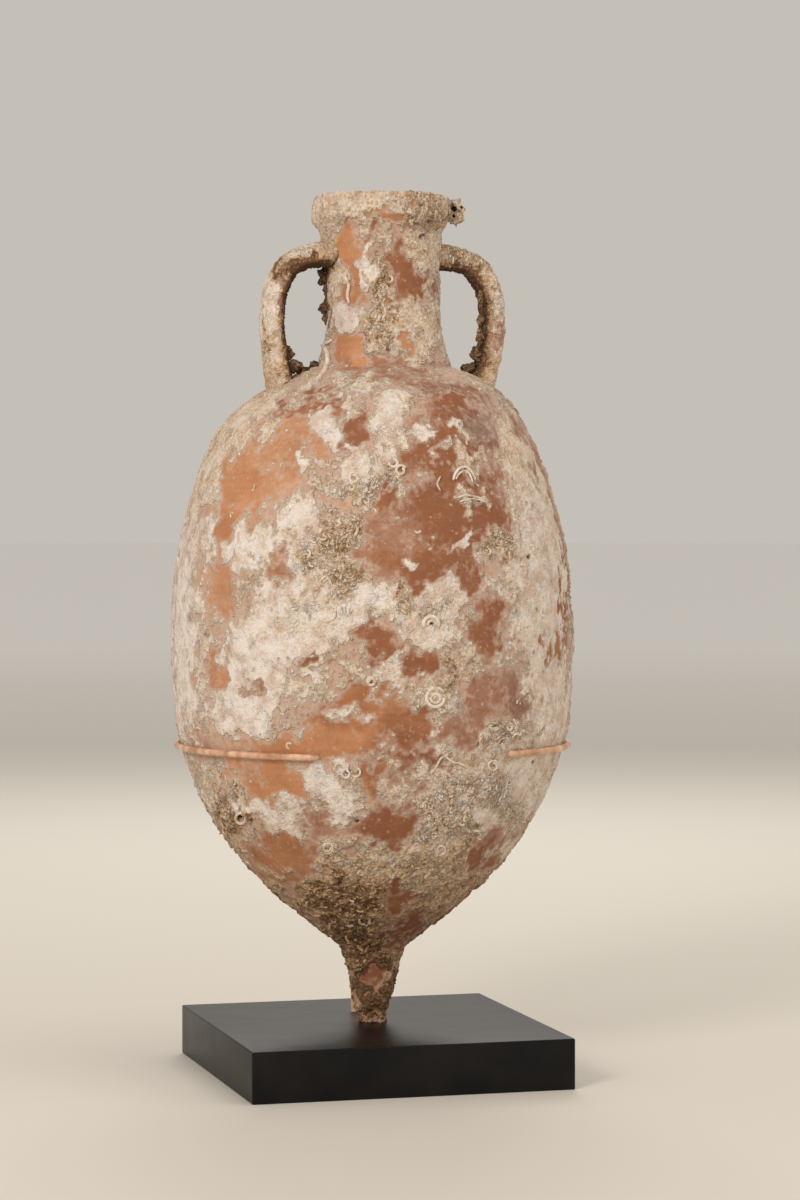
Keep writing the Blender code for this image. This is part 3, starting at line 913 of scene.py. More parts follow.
@dataclass(frozen=True)
class VesselShape:
    """The amphora's turned form, zone by zone from the toe up, with the crust's mean depth taken off."""

    toe_height: float = 0.018
    toe_radius: float = 0.013
    spike_height: float = 0.042
    spike_radius: float = 0.0205
    spike_root_radius: float = 0.027
    lower_body_height: float = 0.325
    belly_radius: float = 0.207
    upper_body_height: float = 0.287
    neck_height: float = 0.138
    neck_radius: float = 0.0585
    neck_foot_flare: float = 0.0125
    neck_top_flare: float = 0.004
    neck_flare_fade: float = 5.0
    rim_height: float = 0.0385
    rim_radius: float = 0.0705
    rim_rounding: float = 0.007
    mouth_flare: float = 0.004
    body_wall: float = 0.010
    neck_wall: float = 0.0095
    floor_thickness: float = 0.030
    neck_offset: float = 0.0085
    leaning_shoulder: float = 0.25
    crust_depth: float = 0.0016
    break_rise: float = 0.004
    break_ripple: float = 0.0012
    neck_bow: float = 0.0035
    neck_waist: float = 0.0022
    lower_curve: tuple = ((0.0, 0.0), (0.05, 0.03), (0.1, 0.13), (0.2, 0.36),
                          (0.39, 0.685), (0.58, 0.87), (0.78, 0.976), (1.0, 1.0))
    upper_curve: tuple = ((0.0, 1.0), (0.26, 0.97), (0.51, 0.867), (0.74, 0.69),
                          (0.88, 0.455), (0.95, 0.235), (1.0, 0.0))

    @property
    def body_base(self) -> float:
        """Height at which the spike widens into the body."""
        return self.toe_height + self.spike_height

    @property
    def belly_level(self) -> float:
        """Height of the widest part."""
        return self.body_base + self.lower_body_height

    @property
    def neck_base(self) -> float:
        """Height at which the shoulder meets the neck."""
        return self.belly_level + self.upper_body_height

    @property
    def rim_base(self) -> float:
        """Height of the rim's lower edge."""
        return self.neck_base + self.neck_height

    @property
    def top(self) -> float:
        """Height of the rim's top."""
        return self.rim_base + self.rim_height

    def solid_radius(self, height: np.ndarray) -> np.ndarray:
        """Outer radius of the solid at heights from the spike to the rim's lower edge."""
        h = np.asarray(height, float)
        spike = (h - self.toe_height) / self.spike_height
        foot = self.spike_radius + (self.spike_root_radius - self.spike_radius) * spike**2
        lower = monotone(self.lower_curve, np.clip((h - self.body_base) / self.lower_body_height, 0, 1))
        lower = self.spike_root_radius + (self.belly_radius - self.spike_root_radius) * lower
        neck_root = self.neck_radius + self.neck_foot_flare
        upper = monotone(self.upper_curve, np.clip((h - self.belly_level) / self.upper_body_height, 0, 1))
        upper = neck_root + (self.belly_radius - neck_root) * upper
        share = (h - self.neck_base) / self.neck_height
        neck = self.neck_radius + self.neck_foot_flare * np.exp(-self.neck_flare_fade * np.maximum(share, 0))
        neck = neck + self.neck_top_flare * np.maximum(share, 0) ** 3
        zones = [h < self.body_base, h < self.belly_level, h < self.neck_base]
        return np.select(zones, [foot, lower, upper], neck)

    def clay_radius(self, height: np.ndarray) -> np.ndarray:
        """Outer radius of the clay itself, under the crust, a little waisted at the neck."""
        share = np.clip((np.asarray(height) - self.neck_base) / self.neck_height, 0, 1)
        return self.solid_radius(height) - self.crust_depth - self.neck_waist * np.sin(math.pi * share)

    def off_the_wall(self, height: float, distance: float) -> tuple[float, float]:
        """The point that stands this far out from the solid's wall, square to it.

        Args:
            height: Height on the wall.
            distance: How far out.

        Returns:
            Its radius and height.
        """
        step = 0.5 * MM
        low, middle, high = self.solid_radius(np.array([height - step, height, height + step]))
        slope = (high - low) / (2 * step)
        length = math.hypot(1, slope)
        return middle + distance / length, height - distance * slope / length

    def shift(self, height: np.ndarray) -> np.ndarray:
        """How far the clay at a height leans towards +X."""
        start = self.neck_base - self.upper_body_height * self.leaning_shoulder
        share = np.clip((height - start) / (self.rim_base - start), 0, 1)
        return self.neck_offset * smoothstep(start, self.neck_base, height) + self.neck_bow * np.sin(
            math.pi * share)


@dataclass(frozen=True)
class Zone:
    """A stretch of the turned surface with one number of facets round it."""

    columns: int
    spacing: float
    line: list[tuple[float, float]]
    inside: bool = False


@dataclass
class AmphoraBody:
    """The turned vessel: toe, body, neck and rim, hollow and open at the mouth."""

    shape: VesselShape
    painter: SurfacePainter
    relief: ReliefTree
    material: Material
    cuts: tuple = (("amphora_foot", 0.205), ("amphora_belly", 0.440), ("amphora_shoulder", 0.672))
    last_piece: str = "amphora_neck"
    few: int = 160  # facets round the surface where it is small or hidden
    some: int = 320
    many: int = 640
    low_belly: float = 0.128
    high_shoulder: float = 0.655
    inside_look: tuple = (("cover", 0.56), ("tone", 0.62), ("relief", 0.18), ("clay", 0.7), ("extra", 0.0))
    seam_depth: float = 1.2 * MM  # the line where the neck was joined on
    seam_width: float = 1.6 * MM
    bearing: float = 7 * MM  # how far above and below the ring the crust is held down
    ring_play: float = 0.1 * MM
    foot_tone: float = 0.34
    foot_zone: tuple[float, float] = (0.08, 0.25)
    tube_free: float = 12 * MM  # no loose tubes this near to the ring, nor below this on the toe
    tube_free_toe: float = 14 * MM
    tube_relief: tuple[float, float] = (0.50, 0.90)
    tube_cover: tuple[float, float] = (0.5, 0.8)
    stray_tubes: float = 0.012
    starts: list[int] = field(default_factory=list)
    rows: list[tuple[float, float, int, bool]] = field(default_factory=list)
    whole: Mesh | None = None

    def wall(self, low: float, high: float, count: int = 400) -> list[tuple[float, float]]:
        """The outer wall's line between two heights."""
        return [(float(self.shape.clay_radius(h)), h) for h in np.linspace(low, high, count)]

    def zones(self) -> list[Zone]:
        """The surface as one line from the toe's underside, up, over the rim and down inside."""
        s = self.shape
        toe = s.toe_radius - 0.5 * MM
        foot = [(toe - 1.2 * MM, 0.0), (toe, 1.2 * MM), (toe + 0.3 * MM, 12.5 * MM),
                (toe + 2.2 * MM, 16 * MM), (toe + 5.0 * MM, 20 * MM)]
        rim = s.rim_radius - s.crust_depth
        top = s.top - s.crust_depth
        arc = [(rim - s.rim_rounding * (1 - math.cos(a)), top - s.rim_rounding * (1 - math.sin(a)))
               for a in np.linspace(0, 1.57, 9)]
        neck_top = float(s.clay_radius(s.rim_base))
        bore = s.neck_radius - s.neck_wall
        mouth = bore + s.mouth_flare
        lip = [(mouth + 3 * MM, top), (mouth + 1 * MM, top - 1 * MM), (mouth, top - 3 * MM)]
        floor = s.body_base + s.floor_thickness
        hollow = [self.inner_point(h) for h in np.linspace(s.neck_base, floor + s.body_wall, 160)]
        collar = [(neck_top, s.rim_base), (neck_top * 0.6 + rim * 0.4, s.rim_base + 6 * MM),
                  (rim, s.rim_base + 15 * MM), *arc, *lip]
        throat = [lip[-1], (mouth, s.rim_base + 20 * MM), (bore, s.rim_base),
                  (bore, s.neck_base + s.neck_height / 3), hollow[0]]
        return [
            Zone(self.few, 1.0 * MM, foot),
            Zone(self.few, 1.3 * MM, [foot[-1], *self.wall(27 * MM, s.body_base, 30)]),
            Zone(self.some, 1.8 * MM, self.wall(s.body_base, self.low_belly)),
            Zone(self.many, 2.0 * MM, self.wall(self.low_belly, self.high_shoulder)),
            Zone(self.some, 1.5 * MM, self.wall(self.high_shoulder, s.neck_base)),
            Zone(self.some, 1.4 * MM, self.wall(s.neck_base, s.rim_base)),
            Zone(self.some, 1.2 * MM, collar),
            Zone(self.few, 2.5 * MM, throat, True),
            Zone(self.few, 6.0 * MM, [*hollow, (hollow[-1][0] * 0.55, floor + 3.5 * MM)], True),
        ]

    def inner_point(self, height: float) -> tuple[float, float]:
        """The inner wall's point that backs the outer wall at this height."""
        step = 0.5 * MM
        low, middle, high = self.shape.clay_radius(np.array([height - step, height, height + step]))
        slope = (high - low) / (2 * step)
        if height > self.shape.neck_base - 2 * step:
            slope = min(slope, 0.0) * 0.5
        length = math.hypot(1, slope)
        wall = self.shape.body_wall - self.shape.crust_depth
        return middle - wall / length, height + wall * slope / length

    def lay_rows(self) -> None:
        """Works out every ring and where its vertices start."""
        nearest = 0.3 * MM
        self.rows = [(0.0, 0.0, 1, False)]
        for zone in self.zones():
            for radius, height in spread(zone.line, zone.spacing):
                last = self.rows[-1]
                if math.hypot(radius - last[0], height - last[1]) > nearest:
                    self.rows.append((radius, height, zone.columns, zone.inside))
        self.rows.append((0.0, self.shape.body_base + self.shape.floor_thickness, 1, True))
        self.starts = list(np.concatenate([[0], np.cumsum([row[2] for row in self.rows])]))

    def points(self) -> np.ndarray:
        """The undisplaced vertices, ring by ring."""
        rings = []
        for radius, height, columns, _ in self.rows:
            turn = np.arange(columns) * 2 * math.pi / columns
            lean = float(self.shape.shift(np.array(height)))
            ring = np.column_stack([
                radius * np.sin(turn) + lean, -radius * np.cos(turn), np.full(columns, TOE_LEVEL + height)])
            rings.append(ring)
        points = np.concatenate(rings)
        self.break_spike(points)
        return points

    def break_spike(self, points: np.ndarray) -> None:
        """Leaves the spike's end broken, higher on one side, with the toe's core standing out of it."""
        s = self.shape
        height = points[:, 2] - TOE_LEVEL
        radius = np.hypot(points[:, 0], points[:, 1])
        off_break = np.abs(height - s.toe_height)
        near = (1 - smoothstep(0.4 * MM, 14 * MM, off_break)) * (height > s.toe_height * 0.9)
        near *= smoothstep(s.toe_radius, s.toe_radius + 3 * MM, radius) * (radius < 2 * s.spike_radius)
        turn = np.arctan2(points[:, 1], points[:, 0])
        wave = s.break_rise * np.cos(turn) + s.break_ripple * np.sin(3 * turn)
        wave += 0.8 * MM * np.sin(7 * turn + 1) + 0.5 * MM * np.sin(13 * turn)
        points[:, 2] += near * wave

    def stitch(self, a: int, b: int) -> list[np.ndarray]:
        """Faces between two rings.

        Args:
            a: Number of the ring that comes first along the surface's line.
            b: Number of the next one.

        Returns:
            Arrays of faces.
        """
        first, second = self.starts[a], self.starts[b]
        n, m = self.rows[a][2], self.rows[b][2]
        if n == m:
            j = np.arange(n)
            k = (j + 1) % n
            return [np.column_stack([first + j, first + k, second + k, second + j])]
        if n == 1:
            j = np.arange(m)
            return [np.column_stack([np.full(m, first), second + (j + 1) % m, second + j])]
        if m == 1:
            j = np.arange(n)
            return [np.column_stack([first + j, first + (j + 1) % n, np.full(n, second)])]
        faces = []
        fine_first = n > m
        coarse_count, fine_count = min(n, m), max(n, m)
        ratio = fine_count // coarse_count
        fine, coarse = (first, second) if fine_first else (second, first)
        k = np.arange(coarse_count)
        here, after = coarse + k, coarse + (k + 1) % coarse_count
        for i in range(ratio):
            one = fine + (k * ratio + i) % fine_count
            two = fine + (k * ratio + i + 1) % fine_count
            apex = here if i < ratio // 2 else after
            faces.append(np.column_stack([one, two, apex] if fine_first else [apex, two, one]))
        middle = fine + (k * ratio + ratio // 2) % fine_count
        faces.append(np.column_stack([middle, after, here] if fine_first else [here, after, middle]))
        return faces

    def build(self) -> list[Object]:
        """Makes the whole surface, grows the crust on it, and cuts it where the potter joined it.

        Returns:
            The pieces, from the foot up.
        """
        self.lay_rows()
        points = self.points()
        faces = [f for i in range(len(self.rows) - 1) for f in self.stitch(i, i + 1)]
        plain = new_mesh("vessel", points, faces)
        fields = self.fields(points, read_rows(plain, "normal"))
        write_fields(plain, {"rest": points, **fields})
        self.whole = self.relief.raise_crust(add_object("vessel", plain), self.material)
        return self.cut(points, read_rows(self.whole, "co"), read_rows(self.whole, "normal"), fields)

    def fields(self, points: np.ndarray, normals: np.ndarray) -> dict[str, np.ndarray]:
        """Paints the outside patch by patch and the inside plainly."""
        s = self.shape
        fields = self.painter.start(points)
        self.painter.paint_far_side(points, normals, fields)
        self.painter.paint_near_side(points, normals, BODY_PATCHES + NECK_PATCHES, fields)
        height = points[:, 2] - TOE_LEVEL
        radius = np.hypot(points[:, 0] - s.shift(height), points[:, 1])
        off_ring = np.abs(height - CradleStand.ring_height)
        inside = np.concatenate([np.full(row[2], row[3]) for row in self.rows])
        for name, value in self.inside_look:
            fields[name] = np.where(inside, value, fields[name])
        seam = np.exp(-((height - s.neck_base) / self.seam_width) ** 2)
        fields["extra"] -= self.seam_depth * seam * ~inside
        fields["limit"] = np.where(off_ring < self.bearing, s.crust_depth + self.ring_play, fields["limit"])
        still = (height < 0.3 * MM) | (inside & (radius < 1 * MM))
        fields["limit"] = np.where(still, 0.0, fields["limit"])
        fields["tone"] += self.foot_tone * (1 - smoothstep(*self.foot_zone, height)) * ~inside
        rough = smoothstep(*self.tube_relief, fields["relief"])
        rough = rough * smoothstep(*self.tube_cover, fields["cover"])
        clear = (off_ring > self.tube_free) & (height > self.tube_free_toe) & ~inside
        clear = clear * (1 - 0.9 * smoothstep(s.rim_base - 5 * MM, s.rim_base + 5 * MM, height))
        fields["settle"] = rough * clear + self.stray_tubes * clear * (height > 0.1)
        return fields

    def cut(self, rest: np.ndarray, grown: np.ndarray, normals: np.ndarray,
            fields: dict[str, np.ndarray]) -> list[Object]:
        """Cuts the vessel into closed rings, which meet face to face.

        Args:
            rest: The vertices before the crust grew.
            grown: The same vertices after.
            normals: The smooth direction at each, over the cuts too.
            fields: The surface's fields.

        Returns:
            One object a ring.
        """
        outside = [i for i, row in enumerate(self.rows) if not row[3]]
        inside = [i for i, row in enumerate(self.rows) if row[3]]
        outer_cuts = [min(outside, key=lambda i: abs(self.rows[i][1] - h) + (self.rows[i][0] < 0.05))
                      for _, h in self.cuts]
        inner_cuts = [min(inside, key=lambda i: abs(self.rows[i][1] - h)) for _, h in self.cuts]
        names = [name for name, _ in self.cuts] + [self.last_piece]
        edges = zip(names, [0, *outer_cuts], [*outer_cuts, None], [len(self.rows) - 1, *inner_cuts],
                    [*inner_cuts, None])
        pieces = []
        for name, low, high, inner_low, inner_high in edges:
            spans = [(low, inner_low)] if high is None else [(low, high), (inner_high, inner_low)]
            faces = [f for first, last in spans for i in range(first, last) for f in self.stitch(i, i + 1)]
            if high is not None:
                faces += self.stitch(high, inner_high)
            if low:
                faces += self.stitch(inner_low, low)
            pieces.append(self.piece(name, faces, rest, grown, normals, fields))
        return pieces

    def piece(self, name: str, faces: list[np.ndarray], rest: np.ndarray, grown: np.ndarray,
              normals: np.ndarray, fields: dict[str, np.ndarray]) -> Object:
        """Makes one cut piece with its share of the vertices and fields."""
        used = np.unique(np.concatenate([f.ravel() for f in faces]))
        renumber = np.zeros(len(rest), np.int64)
        renumber[used] = np.arange(len(used))
        mesh = new_mesh(name, grown[used], [renumber[f] for f in faces])
        write_fields(mesh, {"rest": rest[used]} | {key: fields[key][used] for key in FINISH_FIELDS})
        mesh.normals_split_custom_set_from_vertices(normals[used].tolist())
        mesh.materials.append(self.material)
        return add_object(name, mesh)


@dataclass
class StrapHandle:
    """One handle of oval section, from under the rim over to the shoulder."""

    name: str
    side: int  # 1 towards +X, -1 towards -X
    reach: float
    shape: VesselShape
    painter: SurfacePainter
    relief: ReliefTree
    material: Material
    # the inner side of the section is painted darker: painted shade, partly stained crust
    shade_from: float  # where round the section its shaded side begins
    thickness: float = 0.0205
    width: float = 0.038
    flatness: float = 0.85
    below_rim: float = 0.023
    arch_height: float = 0.072
    squareness: float = 2.7
    foot_radius: float = 0.1065
    knee_rise: float = 22 * MM
    root_swell: float = 0.30
    stations: int = 210
    sides: int = 88
    look: tuple = (("cover", 0.85), ("tone", 0.5), ("relief", 0.36), ("clay", 0.45))
    # the painted shade on the inner side: its fade, the stained crust laid there and the further darkening
    shade_fade: float = 0.85
    shade_stain: float = 0.9
    shade_dark: float = 0.50

    def path(self) -> np.ndarray:
        """The handle's middle line in its own plane, as (outward, height) rows."""
        s = self.shape
        top = s.rim_base - self.below_rim
        root = s.neck_radius - 6 * MM
        turn = np.linspace(0, math.pi / 2, 40)
        power = 2 / self.squareness
        arch = np.column_stack([root + (self.reach - root) * np.sin(turn) ** power,
                                top - self.arch_height * (1 - np.cos(turn) ** power)])
        surface = np.linspace(0.64, 0.672, 200)
        foot = float(surface[np.argmin(np.abs(s.clay_radius(surface) - self.foot_radius))])
        end = np.array([self.foot_radius - 2 * MM, foot - 5 * MM])
        knee = np.array([self.reach - 2 * MM, foot + self.knee_rise])
        t = np.linspace(0, 1, 40)[1:, None]
        drop = arch[-1] * (1 - t) ** 2 + knee * 2 * t * (1 - t) + end * t * t
        return spread(np.concatenate([arch, drop]), count=self.stations)

    def points(self) -> np.ndarray:
        """The undisplaced vertices, ring by ring, and a middle for each end."""
        path = self.path()
        tangent = np.gradient(path, axis=0)
        tangent /= np.linalg.norm(tangent, axis=1)[:, None]
        inward = np.column_stack([tangent[:, 1], -tangent[:, 0]])
        swell = (1 + self.root_swell * np.abs(np.linspace(-1, 1, self.stations)) ** 6)[:, None]
        turn = np.arange(self.sides) * 2 * math.pi / self.sides
        ring_in, ring_side = (np.sign(wave) * np.abs(wave) ** self.flatness * size / 2 for wave, size in (
            (np.cos(turn), self.thickness), (np.sin(turn), self.width)))
        out, up = (path[:, i, None] + inward[:, i, None] * ring_in * swell for i in (0, 1))
        x = self.side * out + self.shape.neck_offset
        y = self.side * ring_side * swell
        rings = np.stack([x, y, TOE_LEVEL + up], axis=-1).reshape(-1, 3)
        ends = [np.array([self.side * path[i, 0] + self.shape.neck_offset, 0.0, TOE_LEVEL + path[i, 1]])
                for i in (0, -1)]
        return np.concatenate([rings, ends])

    def build(self) -> Object:
        """Sweeps the section along the path and grows the crust on it."""
        points = self.points()
        mesh = new_mesh(self.name, points, tube_faces(self.stations, self.sides))
        face_outwards(mesh)
        fields = self.painter.start(points)
        for name, value in self.look:
            fields[name][:] = value
        self.painter.paint_near_side(points, read_rows(mesh, "normal"), HANDLE_PATCHES, fields)
        # painted shade: the inner side of the section takes darker, stained crust and then darkens further
        inner = np.cos(np.arange(self.sides) * 2 * math.pi / self.sides)
        shaded = np.tile(smoothstep(self.shade_from, self.shade_from + self.shade_fade, inner), self.stations)
        shaded = np.append(shaded, [0, 0])
        self.painter.lay(fields, Ground.STAIN.value, np.zeros(len(points)), self.shade_stain * shaded)
        fields["hollow"] = np.maximum(fields["hollow"], self.shade_dark * smoothstep(0.3, 1.0, shaded))
        write_fields(mesh, {"rest": points, **fields})
        return add_object(self.name, self.relief.raise_crust(add_object(self.name, mesh), self.material))

# What grew on the vessel

@dataclass(frozen=True)
class TubeScatter:
    """The geometry tree that strews short worm tubes where the crust is rough."""

    density: float = 11000.0
    tube_radius: float = 1.05 * MM
    sunk: float = 0.6 * MM
    seed: int = 5
    lean: float = 0.35
    sizes: tuple[float, float] = (0.75, 1.5)
    bends: tuple = ((2.2 * MM, 2.6), (3.0 * MM, 3.0), (4.4 * MM, 1.6), (7.0 * MM, 0.9), (2.4 * MM, 4.4))

    def build(self, values: dict[str, object]) -> GeometryNodeTree:
        """Makes the tree.

        Args:
            values: Name of each input to its value.

        Returns:
            The tree, with density, tube radius, seed and material as named inputs.
        """
        tree, entry = new_group("worm tube scatter", values)
        settle = add_node(tree, "GeometryNodeInputNamedAttribute", {"Name": "settle"}, data_type="FLOAT")
        density = add_node(tree, MATH, (settle, entry["Density"]), operation="MULTIPLY")
        points = add_node(tree, "GeometryNodeDistributePointsOnFaces", {
            "Mesh": entry["Geometry"], "Density": density, "Seed": entry["Seed"]})
        spin = add_node(tree, RANDOM, {2: 0.0, 3: 2 * math.pi, "Seed": entry["Seed"]}, out=1,
                        data_type="FLOAT")
        tilt = add_node(tree, RANDOM, {2: -self.lean, 3: self.lean, "Seed": 3}, out=1, data_type="FLOAT")
        pose = points.node.outputs["Rotation"]
        for axis, angle in (((0.0, 0.0, 1.0), spin), ((1.0, 0.0, 0.0), tilt)):
            angle = add_node(tree, AXIS_TURN, {"Axis": axis, "Angle": angle})
            pose = add_node(tree, TURN, {"Rotation": pose, "Rotate By": angle}, rotation_space="LOCAL")
        size = add_node(tree, RANDOM, {2: self.sizes[0], 3: self.sizes[1], "Seed": 9}, out=1,
                        data_type="FLOAT")
        pick = add_node(tree, RANDOM, {4: 0, 5: len(self.bends) - 1, "Seed": 4}, out=2, data_type="INT")
        tubes = add_node(tree, "GeometryNodeInstanceOnPoints", {
            "Points": points, "Instance": self.kinds(tree, entry["Tube Radius"]), "Pick Instance": True,
            "Instance Index": pick, "Rotation": pose, "Scale": size})
        return end_group(tree, tubes, entry["Material"])

    def kinds(self, tree: NodeTree, tube_radius: NodeSocket) -> NodeSocket:
        """The tubes to choose from: arcs of a few bends, closed at both ends."""
        profile = add_node(tree, "GeometryNodeCurvePrimitiveCircle", {"Resolution": 5, "Radius": tube_radius})
        join = tree.nodes.new("GeometryNodeJoinGeometry")
        for radius, sweep_angle in self.bends:
            arc = add_node(tree, "GeometryNodeCurveArc", {
                "Resolution": 7, "Radius": radius, "Sweep Angle": sweep_angle})
            tube = add_node(tree, "GeometryNodeCurveToMesh", {
                "Curve": arc, "Profile Curve": profile, "Fill Caps": True})
            tube = add_node(tree, "GeometryNodeTransform", {
                "Geometry": tube, "Translation": (-0.6 * radius, 0.0, -self.sunk)})
            one = add_node(tree, "GeometryNodeGeometryToInstance", {"Geometry": tube})
            tree.links.new(one, join.inputs[0])
        return join.outputs[0]

    def strew(self, name: str, ground: Mesh, material: Material) -> Object:
        """Strews tubes on a mesh and bakes them into one piece.

        Args:
            name: The piece's name.
            ground: The crusted surface, with its fields; it is used up.
            material: What the tubes are made of.

        Returns:
            The tubes.
        """
        values = {"Density": self.density, "Tube Radius": self.tube_radius, "Seed": self.seed,
                  "Material": material}
        mesh = run_group(add_object("ground", ground), self.build(values), values)
        mesh.name = name
        mesh.shade_smooth()
        return add_object(name, mesh)


@dataclass(frozen=True)
class Coil:
    """A coiled tube or ringed shell, by where it shows, in millimetres."""

    across: float
    height: float
    outer: float
    inner: float
    turns: float
    tube: float
    start: float = 0.0


@dataclass(frozen=True)
class Trail:
    """A tube that runs along the surface, by where it shows, in millimetres."""

    spots: tuple
    tube: float


@dataclass
class LargeGrowths:
    """The worm tubes and shells that can be told apart, each in its own place."""

    sight: Sight
    shape: VesselShape
    material: Material
    proud: float = 2.6 * MM
    sunk: float = 0.4  # how deep a tube sits, as a share of its radius
    taper: float = 0.35
    sides: int = 8
    tone: float = 0.22
    coils: tuple = tuple(Coil(*row) for row in (
        (60, 408, 8.0, 7.4, 0.66, 2.2, -0.5), (61, 407, 4.8, 4.4, 0.56, 1.5, -0.2),
        (65, 332, 10.5, 8.6, 0.9, 1.9, 0.6), (65, 332, 5.2, 4.0, 1.0, 1.7, 3.0),
        (65, 332, 0.8, 0.4, 0.6, 2.2, 1.0), (-1, 349, 4.8, 2.4, 1.4, 1.5, 1.0),
        (29, 566, 5.5, 3.0, 1.1, 1.5, 0.4), (22, 574, 5.0, 3.0, 0.8, 1.4, 3.0),
        (-19, 558, 5.0, 3.0, 1.0, 1.5, 2.0), (-135, 208, 6.5, 4.5, 1.1, 1.6),
        (-27, 254, 5.0, 3.0, 1.1, 1.3, 1.0), (-17, 256, 5.0, 3.5, 0.9, 1.2, 4.0),
        (-23, 104, 7.0, 5.0, 1.1, 1.8, 2.0), (-9, 104, 6.5, 4.5, 1.0, 1.6, 5.0),
        (124, 262, 6.0, 3.0, 1.3, 1.2), (62, 840, 4.5, 2.5, 1.1, 1.2, 4.0),
        (-46, 178, 6.0, 3.0, 1.3, 1.2, 4.5), (70, 176, 6.0, 3.0, 1.3, 1.2, 2.5),
    ))
    trails: tuple = (
        Trail(((83, 556), (85, 563), (90, 569), (96, 570), (102, 565), (106, 556)), 1.5),
        Trail(((86, 557), (88, 562), (92, 565), (97, 566), (101, 561), (103, 554)), 1.1),
        Trail(((88, 538), (96, 541), (106, 539), (116, 536)), 1.2),
        Trail(((90, 534), (100, 537), (110, 536), (118, 533)), 0.9),
        Trail(((-50, 695), (-46, 686), (-46, 676), (-50, 667), (-57, 658)), 2.9),
        Trail(((-42, 700), (-49, 696), (-53, 694)), 1.8),
        Trail(((-33, 768), (-27, 764), (-24, 756), (-26, 746), (-24, 738)), 1.7),
        Trail(((75, 272), (82, 266), (92, 264), (100, 258)), 1.1),
        Trail(((60, 254), (66, 262), (70, 270), (78, 274)), 1.0),
        Trail(((112, 296), (110, 288), (113, 282)), 1.3),
        Trail(((-44, 430), (-38, 424), (-39, 415), (-46, 410), (-54, 413)), 1.5),
        Trail(((16, 748), (10, 738), (14, 728), (8, 718)), 1.4),
        Trail(((70, 545), (66, 552), (70, 560)), 0.9),
    )

    def build(self) -> Object:
        """Sweeps every tube and joins them into one piece."""
        lines = [(self.coil_line(coil), coil.tube * MM) for coil in self.coils]
        lines += [(self.trail_line(trail), trail.tube * MM) for trail in self.trails]
        points, faces, start = [], [], 0
        for spots, radius in lines:
            line = self.sight.touch(spots, self.shape, self.proud - self.sunk * radius)
            share = np.linspace(-1, 1, len(line))
            vertices, parts = sweep(line, radius * (1 - self.taper * share**6), self.sides)
            points.append(vertices)
            faces += [part + start for part in parts]
            start += len(vertices)
        mesh = new_mesh("worm_tubes_large", np.concatenate(points), faces)
        write_fields(mesh, {"tone": np.full(start, self.tone)})
        mesh.materials.append(self.material)
        return add_object("worm_tubes_large", mesh)

    def coil_line(self, coil: Coil) -> np.ndarray:
        """A coil's middle line in the upright plane, in metres."""
        share = np.linspace(0, 1, max(12, int(22 * coil.turns)))
        turn = coil.start + share * coil.turns * 2 * math.pi
        radius = coil.outer + (coil.inner - coil.outer) * share
        across, height = coil.across + radius * np.cos(turn), coil.height + radius * np.sin(turn)
        return np.column_stack([across, height]) * MM

    def trail_line(self, trail: Trail) -> np.ndarray:
        """A trail's middle line in the upright plane, in metres, smoothed."""
        return rounded(spread(list(trail.spots)), 6) * MM


@dataclass(frozen=True)
class Lump:
    """A lump of crust that stands clear of the clay, by where it shows, in millimetres."""

    across: float
    height: float
    half_width: float
    half_height: float
    behind: float = 0.0  # beyond the upright plane through the axis
    # dark is painted shade over the whole lump; its holes take more
    dark: float = 0.55
    tone: float = 0.8
    holes: tuple = ()  # each one's place from the middle, half width and depth


